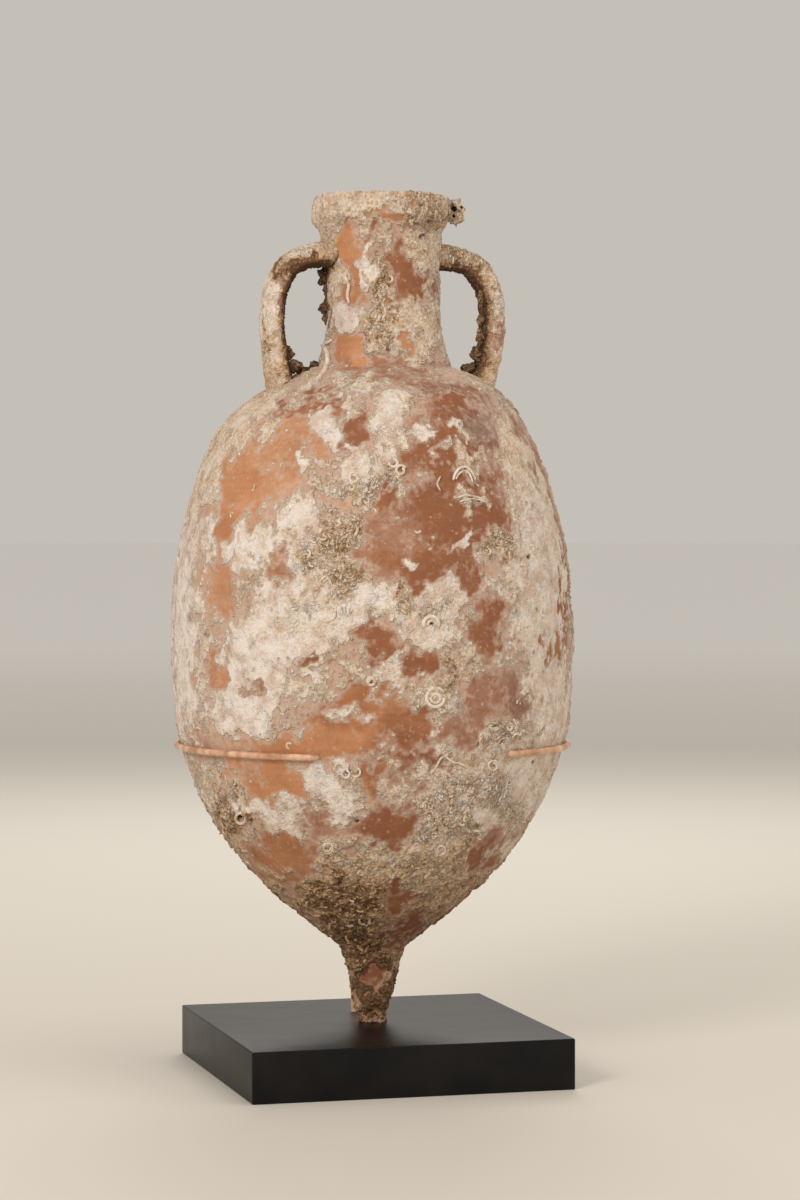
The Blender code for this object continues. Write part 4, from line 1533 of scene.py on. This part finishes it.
@dataclass
class CrustLumps:
    """The lumps that break the outline: one on the rim, eaten through; by the handles, brown ones in painted
    shade.
    """

    sight: Sight
    material: Material
    look: tuple = (("cover", 1.2), ("relief", 0.8), ("clay", 0.3))
    knobbly: tuple = ((9.0, 0.13), (4.0, 0.07), (2.0, 0.03))  # waves in millimetres, and their shares
    seed: int = 41
    hole_fall: float = 1.6
    hole_reach: float = 0.2  # how far round towards the back a hole still shows
    lumps: tuple = tuple(Lump(*row) for row in (
        (86, 831, 8.0, 12.5, 0, 0.0, 0.34,
         ((-2.0, 3.6, 3.6, 6.0), (5.6, 5.0, 1.9, 3.0), (-2.5, -4.0, 2.0, 2.0))),
        # down the neck's left edge
        (-44, 776, 7.0, 9.0, 0, 0.44), (-47, 765, 8.5, 9.0, 0, 0.48), (-44, 753, 6.5, 9.0, 0, 0.44),
        (-43, 743, 6.0, 8.0, 0, 0.42), (-47, 733, 7.5, 7.0, 0, 0.48), (-44, 722, 6.0, 9.0, 0, 0.42),
        # where the left handle meets the shoulder
        (-88, 684, 7.0, 9.0, -30, 0.42), (-81, 672, 8.5, 7.0, -28, 0.48), (-70, 667, 8.0, 5.0, -20, 0.50),
        (-58, 672, 7.0, 6.0, -10, 0.46), (-91, 762, 4.5, 6.0, -30, 0.40),
        # along the inner edge of the right handle
        (112, 744, 3.6, 7.0, 24, 0.30), (112, 722, 4.0, 6.0, 24, 0.30), (111, 704, 4.2, 8.0, 24, 0.34),
        (108, 687, 6.0, 8.0, 24, 0.44), (99, 671, 8.0, 6.0, 24, 0.48), (98, 778, 5.0, 4.0, 24, 0.44),
        (109, 664, 7.0, 7.0, 24, 0.38),
    ))

    def build(self) -> Object:
        """Joins the lumps into one piece, with the fields that the crust's finish reads."""
        parts, faces, hollows, tones, start = [], [], [], [], 0
        for lump in self.lumps:
            points, triangles, hollow = self.shape(lump)
            parts.append(points)
            faces.append(triangles + start)
            hollows.append(hollow)
            tones.append(np.full(len(points), lump.tone))
            start += len(points)
        points = np.concatenate(parts)
        mesh = new_mesh("crust_lumps", points, faces)
        # the hollow field holds each lump's painted shade
        write_fields(mesh, {"rest": points, **{name: np.full(start, value) for name, value in self.look},
                            "tone": np.concatenate(tones), "hollow": np.concatenate(hollows)})
        mesh.materials.append(self.material)
        return add_object("crust_lumps", mesh)

    def shape(self, lump: Lump) -> tuple[np.ndarray, np.ndarray, np.ndarray]:
        """A knobbly closed lump, its holes facing the front.

        Args:
            lump: Its place and sizes.

        Returns:
            Vertices, triangles and how much painted shade each vertex takes.
        """
        ball = bmesh.new()
        bmesh.ops.create_icosphere(ball, subdivisions=5 if lump.holes else 4, radius=1.0)
        unit = np.array([v.co for v in ball.verts])
        triangles = np.array([[v.index for v in f.verts] for f in ball.faces])
        ball.free()
        local = unit * (lump.half_width, lump.half_width, lump.half_height)
        near = local + (lump.across, lump.behind, lump.height)
        rough = sum(far * wobble(near, size, self.seed + i) for i, (size, far) in enumerate(self.knobbly))
        local *= (1 + rough)[:, None]
        hollow = np.full(len(unit), lump.dark)
        # each hole is sunk into the lump and filled with painted shade
        for across, height, half, depth in lump.holes:
            off = np.hypot(local[:, 0] - across, local[:, 2] - height) / half
            dip = np.exp(-self.hole_fall * off**4) * (unit[:, 1] < self.hole_reach)
            local[:, 1] += depth * dip
            hollow = np.maximum(hollow, dip)
        local += (lump.across, lump.behind, lump.height)
        points = (local[:, :1] * self.sight.right + local[:, 1:2] * self.sight.forward) * MM
        points[:, 2] += TOE_LEVEL + local[:, 2] * MM
        return points, triangles, hollow


# What stands under the vessel and around it

@dataclass
class CradleStand:
    """The rod stand: an open ring brazed to a bent post, painted to match the clay."""

    shape: VesselShape
    material: Material
    gap: float = 0.3 * MM
    wire_radius: float = 3.25 * MM
    post_radius: float = 4.0 * MM
    post_setback: float = 0.072
    socket_depth: float = 0.030
    braze_depth: float = 1.5 * MM
    left_tip: float = math.radians(30)
    right_tip: float = math.radians(27)
    block_top: float = 0.051
    facets: int = 28
    crease: float = 60.0
    ring_height = 0.286

    def ring(self) -> Tube:
        """The ring, from the tip on the +X side round the back to the other tip."""
        radius, height = self.shape.off_the_wall(self.ring_height, self.wire_radius + self.gap)
        turn = np.linspace(-math.pi / 2 + self.right_tip, 1.5 * math.pi - self.left_tip, 420)
        line = np.column_stack([radius * np.cos(turn), radius * np.sin(turn),
                                np.full(len(turn), TOE_LEVEL + height)])
        along = radius * (turn - turn[0])
        to_tip = np.minimum(along, along[-1] - along)
        dome = np.sqrt(np.clip(1 - (1 - to_tip / self.wire_radius) ** 2, 0.02, 1))
        radii = self.wire_radius * np.where(to_tip < self.wire_radius, dome, 1.0)
        return sweep(line, radii, self.facets)

    def post(self) -> Tube:
        """The post, out of the block and up behind the body to the ring."""
        standoff = self.gap + 2 * self.wire_radius - self.braze_depth + self.post_radius
        heights = np.linspace(self.shape.body_base, self.ring_height + self.post_radius, 500)
        outline = np.array([self.shape.off_the_wall(h, standoff) for h in heights])
        behind = outline[outline[:, 0] > self.post_setback]
        corner = np.array([self.post_setback, behind[0][1]])
        foot = np.array([self.post_setback, self.block_top - self.socket_depth - TOE_LEVEL])
        line = rounded(spread(np.concatenate([[foot], [corner], behind[::12], behind[-1:]]), count=160), 40)
        points = np.column_stack([np.zeros(len(line)), line[:, 0], TOE_LEVEL + line[:, 1]])
        return sweep(points, np.full(len(points), self.post_radius), self.facets)

    def build(self) -> Object:
        """Joins ring and post into one brazed piece."""
        ring, post = (add_object(name, new_mesh(name, *tube)) for name, tube in (
            ("cradle", self.ring()), ("post", self.post())))
        for rod in (ring, post):
            face_outwards(rod.data)
        return combined("cradle_stand", ring, post, "UNION", self.material, self.crease)


@dataclass
class BaseBlock:
    """The square block, with the blind hole that holds the post."""

    material: Material
    stand: CradleStand
    side: float = 0.330
    thickness: float = 0.051
    edge: float = 1.6 * MM
    crease: float = 28.0

    def build(self) -> Object:
        """Makes the block with eased edges and cuts its hole."""
        body = bmesh.new()
        bmesh.ops.create_cube(body, size=1.0)
        bmesh.ops.scale(body, vec=(self.side, self.side, self.thickness), verts=body.verts)
        bmesh.ops.translate(body, vec=(0, 0, self.thickness / 2), verts=body.verts)
        bmesh.ops.bevel(body, geom=body.edges[:], offset=self.edge, segments=4, profile=0.5, affect="EDGES")
        name = "base_block_lacquered"
        block = add_object(name, mesh_from(body, "base_block"))
        return combined(name, block, self.hole(), "DIFFERENCE", self.material, self.crease)

    def hole(self) -> Object:
        """The cutter for the post's hole."""
        reach = 10 * MM
        depth = self.stand.socket_depth + self.stand.gap
        size = self.stand.post_radius + self.stand.gap
        drill = bmesh.new()
        bmesh.ops.create_cone(
            drill, cap_ends=True, segments=48, radius1=size, radius2=size, depth=depth + reach)
        middle = self.thickness - depth + (depth + reach) / 2
        bmesh.ops.translate(drill, vec=(0, self.stand.post_setback, middle), verts=drill.verts)
        return add_object("post hole", mesh_from(drill, "post hole"))


# Finishes

def new_material(name: str) -> tuple[Material, NodeTree]:
    """An empty node material.

    Args:
        name: What it is and how it was made.

    Returns:
        The material and its tree.
    """
    material = bpy.data.materials.new(name)
    material.use_nodes = True
    material.node_tree.nodes.clear()
    return material, material.node_tree


@dataclass(frozen=True)
class SeaWornEarthenware:
    """Unglazed wheel-thrown earthenware under calcareous marine crust.

    Iron-rich clay fired orange to red-brown gives the warm, dead-matt ground; a film of lime greys it
    towards pink, and where worms and algae grew the lime stands up as dry white to brown crust.
    """

    pattern: CrustPattern
    clay_stops: tuple = ((0.0, "#C99066"), (0.25, "#B07852"), (0.5, "#8F5A3B"), (0.75, "#87563F"),
                         (1.0, "#80695C"))
    crust_stops: tuple = ((0.0, "#E8DDD4"), (0.3, "#DCC9B4"), (0.55, "#C7A785"), (0.8, "#A07C57"),
                          (1.0, "#75563A"))
    film: str = "#CDB2A0"
    fleck: str = "#B58B6E"
    blush: str = "#C4A594"
    # painted shade: the colour of gaps, pits and the crust's outline, and of holes, dark lumps and the
    # handles' inner sides
    crevice_shade: str = "#57432F"
    hole: str = "#2C1F14"
    grog: str = "#E6C7A6"
    # how far the crust has grown where it begins, where a painted shadow outlines it on the clay, and where
    # it is bare
    crust: Span = (0.475, 0.525, 0.0, 1.0)
    outline: Span = (0.44, 0.50, 0.0, 0.05)
    rise: Span = (0.46, 0.62, 0.0, 1.0)
    veil: Span = (0.16, 0.50, 0.0, 0.46)
    # how the hollow field's painted shade turns into the hole colour
    hollow: Span = (0.25, 0.7, 0.0, 1.0)
    gloss: Span = (0.0, 1.0, 0.78, 0.94)
    # the gaps between wound tubes, which take painted shade
    fine_tangle: float = 13 * MM
    gap: Span = (0.0, 0.42, 1.0, 0.0)
    wild: Grain = Grain(17 * MM, 3.0)
    wild_weight: float = 2.2
    wild_share: Span = (1.35, 2.2, 0.04, 0.85)
    # the clay
    hue_shift: float = -0.37
    firing: Grain = Grain(50 * MM, 3.0)
    firing_weight: float = 0.55
    throwing: Grain = Grain(16 * MM, 4.0)
    throwing_weight: float = 0.19
    throwing_stretch: tuple[float, float, float] = (0.3, 0.3, 4.0)
    mottle: Grain = Grain(3.4 * MM, 4.0, 0.7)
    mottle_shade: Span = (0.3, 0.7, 0.92, 1.08)
    grog_spacing: float = 9 * MM
    grog_speck: Span = (0.04, 0.13, 0.5, 0.0)
    dust: Grain = Grain(8 * MM, 5.0, 0.72)
    dust_weight: float = 0.8
    dust_share: Span = (0.47, 1.0, 0.0, 0.55)
    clean_clay: Span = (0.35, 1.1, 1.0, 0.1)
    # the lime
    tone_shift: float = -0.55
    patchy: Grain = Grain(13 * MM, 4.0, 0.62)
    patchy_weight: float = 1.1
    grit: Grain = Grain(3.0 * MM, 1.5, 0.6)
    grit_weight: tuple[float, float] = (-0.9, -0.7)  # by relief, and everywhere
    # painted light and shade: raised lumps lighter, the ground between them darker
    lump_shade_weight: float = -1.9
    gap_shade: float = 0.68
    stained: Grain = Grain(26 * MM, 6.0, 0.72)
    stain_share: Span = (0.47, 0.62, 0.0, 0.60)
    clean_lime: Span = (0.1, 0.45, 1.0, 0.15)
    flecked: Grain = Grain(9 * MM, 4.0, 0.68)
    fleck_share: Span = (0.56, 0.68, 0.0, 0.45)
    # small dark pits of painted shade
    pit_spacing: float = 6.5 * MM
    pit: Span = (0.06, 0.15, 0.5, 0.0)
    # what only the bump holds, in millimetres
    crumb: Grain = Grain(3.6 * MM, 2.0, 0.6)
    crumb_rise: tuple[float, float] = (2.8, 1.2)  # by relief, and everywhere
    tooth: Grain = Grain(1.8 * MM, 2.0, 0.6)
    tooth_rise: float = 0.4
    crust_step: float = 0.4
    gap_rise: float = -1.5
    lump_rise: float = 2.0

    def build(self) -> Material:
        """Makes the material from the same pattern as the relief."""
        material, tree = new_material("wheel-thrown earthenware, sea-crusted")
        p = self.pattern
        place = p.field(tree, "rest")
        relief = p.field(tree, "relief")
        growth = p.growth(tree, place)
        crust = add_node(tree, RANGE, (growth, *self.crust))
        lumps = p.lumps(tree, place)
        gaps = self.gaps(tree, place, relief)
        colour = self.clay_colour(tree, place, growth)
        lime = self.crust_colour(tree, place, relief, lumps, gaps)
        # a painted shadow round the crust's edge on the clay, then painted shade over holes and dark lumps
        edge = add_node(tree, RANGE, (growth, *self.outline))
        edge = add_node(tree, MATH, (edge, crust), operation="SUBTRACT", use_clamp=True)
        hollow = add_node(tree, RANGE, (p.field(tree, "hollow"), *self.hollow))
        for share, layer in ((crust, lime), (edge, linear(self.crevice_shade)), (hollow, linear(self.hole))):
            colour = add_node(tree, MIX, {0: share, 6: colour, 7: layer}, out=2, data_type="RGBA")
        rough = add_node(tree, RANGE, (crust, *self.gloss))
        height = self.fine_height(tree, place, growth, relief, gaps, lumps)
        bump = add_node(tree, BUMP, {"Height": height, "Distance": MM, "Strength": 1.0})
        shader = add_node(tree, SHADER, {
            "Base Color": colour, "Roughness": rough, "Normal": bump, "IOR": 1.5, "Specular IOR Level": 0.3})
        add_node(tree, SURFACE, {"Surface": shader})
        return material

    def gaps(self, tree: NodeTree, place: NodeSocket, relief: NodeSocket) -> NodeSocket:
        """The gaps between wound tubes, dark with painted shade: one in a gap, zero on a back, only in rough
        crust.
        """
        p = self.pattern
        coarse, fine = (p.tangle(tree, place, size) for size in (p.tangle_size, self.fine_tangle))
        both = add_node(tree, MATH, (coarse, fine), operation="MULTIPLY")
        gap = add_node(tree, RANGE, (both, *self.gap))
        wild = add_node(tree, NOISE, self.wild.at(place))
        wild = add_node(tree, MATH, (wild, self.wild_weight, relief), operation="MULTIPLY_ADD")
        wild = add_node(tree, RANGE, (wild, *self.wild_share))
        return add_node(tree, MATH, (gap, wild), operation="MULTIPLY")

    def clay_colour(self, tree: NodeTree, place: NodeSocket, growth: NodeSocket) -> NodeSocket:
        """Fired clay: broad firing shades, throwing streaks, grog specks, and the lime film over it."""
        p = self.pattern
        stretched = add_node(tree, VECTOR, (place, self.throwing_stretch), operation="MULTIPLY")
        hue = add_node(tree, MATH, (p.field(tree, "clay"), self.hue_shift), operation="ADD")
        for grain, over, weight in ((self.firing, place, self.firing_weight),
                                    (self.throwing, stretched, self.throwing_weight)):
            wave = add_node(tree, NOISE, grain.at(over))
            hue = add_node(tree, MATH, (wave, weight, hue), operation="MULTIPLY_ADD")
        clay = add_node(tree, RAMP, (hue,), stops=self.clay_stops)
        mottle = add_node(tree, NOISE, self.mottle.at(place))
        shade = add_node(tree, RANGE, (mottle, *self.mottle_shade), clamp=False)
        clay = add_node(tree, VECTOR, {0: clay, "Scale": shade}, operation="SCALE")
        dots = add_node(tree, CELLS, {"Vector": place, "Scale": 1 / self.grog_spacing})
        dots = add_node(tree, RANGE, (dots, *self.grog_speck))
        dust = add_node(tree, NOISE, self.dust.at(place))
        haze = add_node(tree, MATH, (dust, self.dust_weight, p.field(tree, "cover")),
                        operation="MULTIPLY_ADD")
        haze = add_node(tree, RANGE, (haze, *self.dust_share))
        veil = add_node(tree, RANGE, (growth, *self.veil))
        veil = add_node(tree, MATH, (veil, haze), operation="ADD", use_clamp=True)
        clean = add_node(tree, RANGE, (p.field(tree, "tone"), *self.clean_clay))
        veil = add_node(tree, MATH, (veil, clean), operation="MULTIPLY")
        for share, layer in ((dots, self.grog), (veil, self.film)):
            clay = add_node(tree, MIX, {0: share, 6: clay, 7: linear(layer)}, out=2, data_type="RGBA")
        return clay

    def crust_colour(self, tree: NodeTree, place: NodeSocket, relief: NodeSocket, lumps: NodeSocket,
                     gaps: NodeSocket) -> NodeSocket:
        """Lime crust: its tone and grain, flecks of clay showing through, and painted light and shade on
        lumps, gaps and pits.
        """
        p = self.pattern
        grit, patchy, blush, flecks = (add_node(tree, NOISE, grain.at(place)) for grain in (
            self.grit, self.patchy, self.stained, self.flecked))
        grit = add_node(tree, MATH, (grit, 0.5), operation="SUBTRACT")
        depth = add_node(tree, MATH, (relief, *self.grit_weight), operation="MULTIPLY_ADD")
        knobs = add_node(tree, MATH, (lumps, relief), operation="MULTIPLY")
        tone = add_node(tree, MATH, (p.field(tree, "tone"), self.tone_shift), operation="ADD")
        for wave, weight in ((patchy, self.patchy_weight), (grit, depth), (knobs, self.lump_shade_weight)):
            tone = add_node(tree, MATH, (wave, weight, tone), operation="MULTIPLY_ADD")
        lime = add_node(tree, RAMP, (tone,), stops=self.crust_stops)
        blush = add_node(tree, RANGE, (blush, *self.stain_share))
        clean = add_node(tree, RANGE, (p.field(tree, "tone"), *self.clean_lime))
        blush = add_node(tree, MATH, (blush, clean), operation="MULTIPLY")
        flecks = add_node(tree, RANGE, (flecks, *self.fleck_share))
        pits = add_node(tree, CELLS, {"Vector": place, "Scale": 1 / self.pit_spacing})
        pits = add_node(tree, RANGE, (pits, *self.pit))
        # painted shade in the gaps between tubes and in pits
        dark = add_node(tree, MATH, (gaps, self.gap_shade), operation="MULTIPLY")
        dark = add_node(tree, MATH, (dark, pits), operation="MAXIMUM")
        for share, layer in ((blush, self.blush), (flecks, self.fleck), (dark, self.crevice_shade)):
            lime = add_node(tree, MIX, {0: share, 6: lime, 7: linear(layer)}, out=2, data_type="RGBA")
        return lime

    def fine_height(self, tree: NodeTree, place: NodeSocket, growth: NodeSocket, relief: NodeSocket,
                    gaps: NodeSocket, lumps: NodeSocket) -> NodeSocket:
        """Height in millimetres of what is smaller than the mesh can hold."""
        crumb, tooth = (add_node(tree, NOISE, grain.at(place)) for grain in (self.crumb, self.tooth))
        depth = add_node(tree, MATH, (relief, *self.crumb_rise), operation="MULTIPLY_ADD")
        top = self.crust_step
        for wave, weight in ((crumb, depth), (gaps, self.gap_rise), (lumps, self.lump_rise)):
            top = add_node(tree, MATH, (wave, weight, top), operation="MULTIPLY_ADD")
        tooth = add_node(tree, MATH, (tooth, self.tooth_rise), operation="MULTIPLY")
        rise = add_node(tree, RANGE, (growth, *self.rise))
        return add_node(tree, MATH, (top, rise, tooth), operation="MULTIPLY_ADD")


@dataclass(frozen=True)
class LimeTube:
    """Calcite worm tubes and shells: dense white to brown lime, banded as it grew, a little smoother."""

    pattern: CrustPattern
    stops: tuple = SeaWornEarthenware.crust_stops
    band: Grain = Grain(7 * MM, 4.0, 0.65)
    fine: Grain = Grain(1.5 * MM, 3.0)
    tone_weights: tuple[float, float] = (0.8, -0.95)  # of the crust's own tone, and everywhere
    band_weight: float = 2.0

    def build(self) -> Material:
        """Makes the material; its tone follows the crust that each tube stands on."""
        material, tree = new_material("calcite worm tube, grown")
        place = add_node(tree, PLACE, out=3)
        wave, fine = (add_node(tree, NOISE, grain.at(place)) for grain in (self.band, self.fine))
        tone = self.pattern.field(tree, "tone")
        tone = add_node(tree, MATH, (tone, *self.tone_weights), operation="MULTIPLY_ADD")
        tone = add_node(tree, MATH, (wave, self.band_weight, tone), operation="MULTIPLY_ADD")
        colour = add_node(tree, RAMP, (tone,), stops=self.stops)
        bump = add_node(tree, BUMP, {"Height": fine, "Distance": 0.8 * MM, "Strength": 1.0})
        shader = add_node(tree, SHADER, {
            "Base Color": colour, "Roughness": 0.8, "Normal": bump, "Specular IOR Level": 0.35})
        add_node(tree, SURFACE, {"Surface": shader})
        return material


@dataclass(frozen=True)
class TonedRodPaint:
    """Brass rod brushed with satin acrylic, mixed to the clay's pink tan; brush marks catch the light."""

    stops: tuple = ((0.34, "#AC7B5C"), (0.5, "#D0A07F"), (0.66, "#E6C0A2"))
    broad: Grain = Grain(14 * MM, 4.0)
    brush: Grain = Grain(2.2 * MM, 4.0)
    gloss: Span = (0.0, 1.0, 0.30, 0.60)

    def build(self) -> Material:
        """Makes the material."""
        material, tree = new_material("brass rod, brush-painted satin")
        place = add_node(tree, PLACE, out=3)
        broad, brush = (add_node(tree, NOISE, grain.at(place)) for grain in (self.broad, self.brush))
        colour = add_node(tree, RAMP, (broad,), stops=self.stops)
        rough = add_node(tree, RANGE, (brush, *self.gloss))
        bump = add_node(tree, BUMP, {"Height": brush, "Distance": 0.25 * MM, "Strength": 1.0})
        shader = add_node(tree, SHADER, {"Base Color": colour, "Roughness": rough, "Normal": bump})
        add_node(tree, SURFACE, {"Surface": shader})
        return material


@dataclass(frozen=True)
class BlackSatinLacquer:
    """Hardwood block sprayed with black satin lacquer: near black, softly reflecting, a little dusty."""

    black: str = "#0D0C0D"
    dust: str = "#2B2621"
    haze: Grain = Grain(45 * MM, 5.0)
    haze_share: Span = (0.40, 0.75, 0.0, 0.28)
    gloss: Span = (0.0, 1.0, 0.28, 0.44)
    speck_spacing: float = 9 * MM
    speck: Span = (0.03, 0.07, 0.6, 0.0)
    wood: Grain = Grain(5 * MM, 3.0)
    wood_stretch: tuple[float, float, float] = (0.12, 3.0, 3.0)

    def build(self) -> Material:
        """Makes the material."""
        material, tree = new_material("hardwood, sprayed black satin lacquer")
        place = add_node(tree, PLACE, out=3)
        haze = add_node(tree, NOISE, self.haze.at(place))
        specks = add_node(tree, CELLS, {"Vector": place, "Scale": 1 / self.speck_spacing})
        specks = add_node(tree, RANGE, (specks, *self.speck))
        share = add_node(tree, RANGE, (haze, *self.haze_share))
        share = add_node(tree, MATH, (share, specks), operation="MAXIMUM")
        colour = add_node(tree, MIX, {0: share, 6: linear(self.black), 7: linear(self.dust)}, out=2,
                          data_type="RGBA")
        wood = add_node(tree, VECTOR, (place, self.wood_stretch), operation="MULTIPLY")
        wood = add_node(tree, NOISE, self.wood.at(wood))
        rough = add_node(tree, RANGE, (haze, *self.gloss))
        bump = add_node(tree, BUMP, {"Height": wood, "Distance": 0.05 * MM, "Strength": 1.0})
        shader = add_node(tree, SHADER, {
            "Base Color": colour, "Roughness": rough, "Normal": bump, "IOR": 1.45,
            "Specular IOR Level": 0.22})
        add_node(tree, SURFACE, {"Surface": shader})
        return material


# Stage and light

@dataclass(frozen=True)
class Studio:
    """A plain pale floor under an even pale sky, and soft lights, the same from all sides."""

    floor: tuple = ((0.04, "#D6D0C6"), (0.22, "#E4E0D8"), (0.5, "#FDFCFA"))
    floor_rings: tuple[float, ...] = (1.0, 4.0, 12.0, 40.0)
    floor_sides: int = 96
    ramp_reach: float = 20.0
    sky: str = "#EFE9E0"
    sky_strength: float = 0.64
    tint: str = "#FFFAF3"
    aim: float = 0.45
    lights: tuple = (  # name, place, size and power
        ("key", (-2.5, -2.6, 2.05), 1.1, 71.0),
        ("overhead", (0.5, -1.0, 3.1), 1.2, 10.0),
        ("fill", (2.9, -1.7, 1.3), 2.0, 19.0),
        ("back", (0.8, 2.7, 2.5), 1.6, 40.0),
    )

    def build(self) -> None:
        """Adds the floor, the lights and the world."""
        self.lay_floor()
        for light in self.lights:
            self.hang(*light)
        bpy.context.scene.view_settings.view_transform = "Standard"
        world = bpy.data.worlds.new("room")
        world.use_nodes = True
        sky = world.node_tree.nodes["Background"].inputs
        sky["Color"].default_value = linear(self.sky)
        sky["Strength"].default_value = self.sky_strength
        bpy.context.scene.world = world

    def lay_floor(self) -> None:
        """The floor, paler far out so that it meets the sky softly."""
        n = self.floor_sides
        turn = np.arange(n) * 2 * math.pi / n
        rings = [np.column_stack([r * np.cos(turn), r * np.sin(turn), np.zeros(n)]) for r in self.floor_rings]
        j = np.arange(n)
        k = (j + 1) % n
        faces = [np.column_stack([n * i + j, n * (i + 1) + j, n * (i + 1) + k, n * i + k])
                 for i in range(len(rings) - 1)]
        faces.append(np.column_stack([np.full(n, len(rings) * n), j, k]))
        mesh = new_mesh("floor", np.concatenate([*rings, np.zeros((1, 3))]), faces)
        material, tree = new_material("floor, matt paint")
        place = add_node(tree, PLACE, out=3)
        away = add_node(tree, VECTOR, (place,), out=1, operation="LENGTH")
        share = add_node(tree, MATH, (away, 1 / self.ramp_reach), operation="MULTIPLY")
        colour = add_node(tree, RAMP, (share,), stops=self.floor)
        shader = add_node(tree, SHADER, {"Base Color": colour, "Roughness": 0.85})
        add_node(tree, SURFACE, {"Surface": shader})
        mesh.materials.append(material)
        add_object("floor", mesh)

    def hang(self, name: str, place: tuple, size: float, power: float) -> None:
        """A square soft light that looks at the object."""
        data = bpy.data.lights.new(name, "AREA")
        data.size = size
        data.energy = power
        data.color = linear(self.tint)[:3]
        lamp = add_object(name, data)
        lamp.location = place
        lamp.rotation_euler = (Vector((0, 0, self.aim)) - Vector(place)).to_track_quat("-Z", "Y").to_euler()


def main() -> None:
    """Builds the pieces in order and hands each one over."""
    logging.basicConfig(level=logging.INFO, format="%(message)s")
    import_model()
    sight = Sight()
    sight.place_camera()
    shape = VesselShape()
    pattern = CrustPattern()
    painter = SurfacePainter(sight)
    relief = ReliefTree(pattern)
    earthenware = SeaWornEarthenware(pattern).build()
    lime = LimeTube(pattern).build()
    body = AmphoraBody(shape, painter, relief, earthenware)
    for piece in body.build():
        hand_over(piece, "fired_clay", "amphora")
    hand_over(TubeScatter().strew("worm_tubes_small", body.whole, lime), "fired_clay")
    hand_over(LargeGrowths(sight, shape, lime).build(), "fired_clay")
    hand_over(CrustLumps(sight, earthenware).build(), "fired_clay")
    # the last number is where each handle's painted shade begins round its section
    for name, side, reach, shade in (("left_handle", -1, 0.1145, -0.12), ("right_handle", 1, 0.1205, 0.15)):
        handle = StrapHandle(name, side, reach, shape, painter, relief, earthenware, shade)
        hand_over(handle.build(), "fired_clay", "amphora")
    stand = CradleStand(shape, TonedRodPaint().build())
    hand_over(stand.build(), "cradle_metal", "cradle")
    hand_over(BaseBlock(BlackSatinLacquer().build(), stand).build(), "base_wood", "base_block")
    Studio().build()


if __name__ == "__main__":
    main()
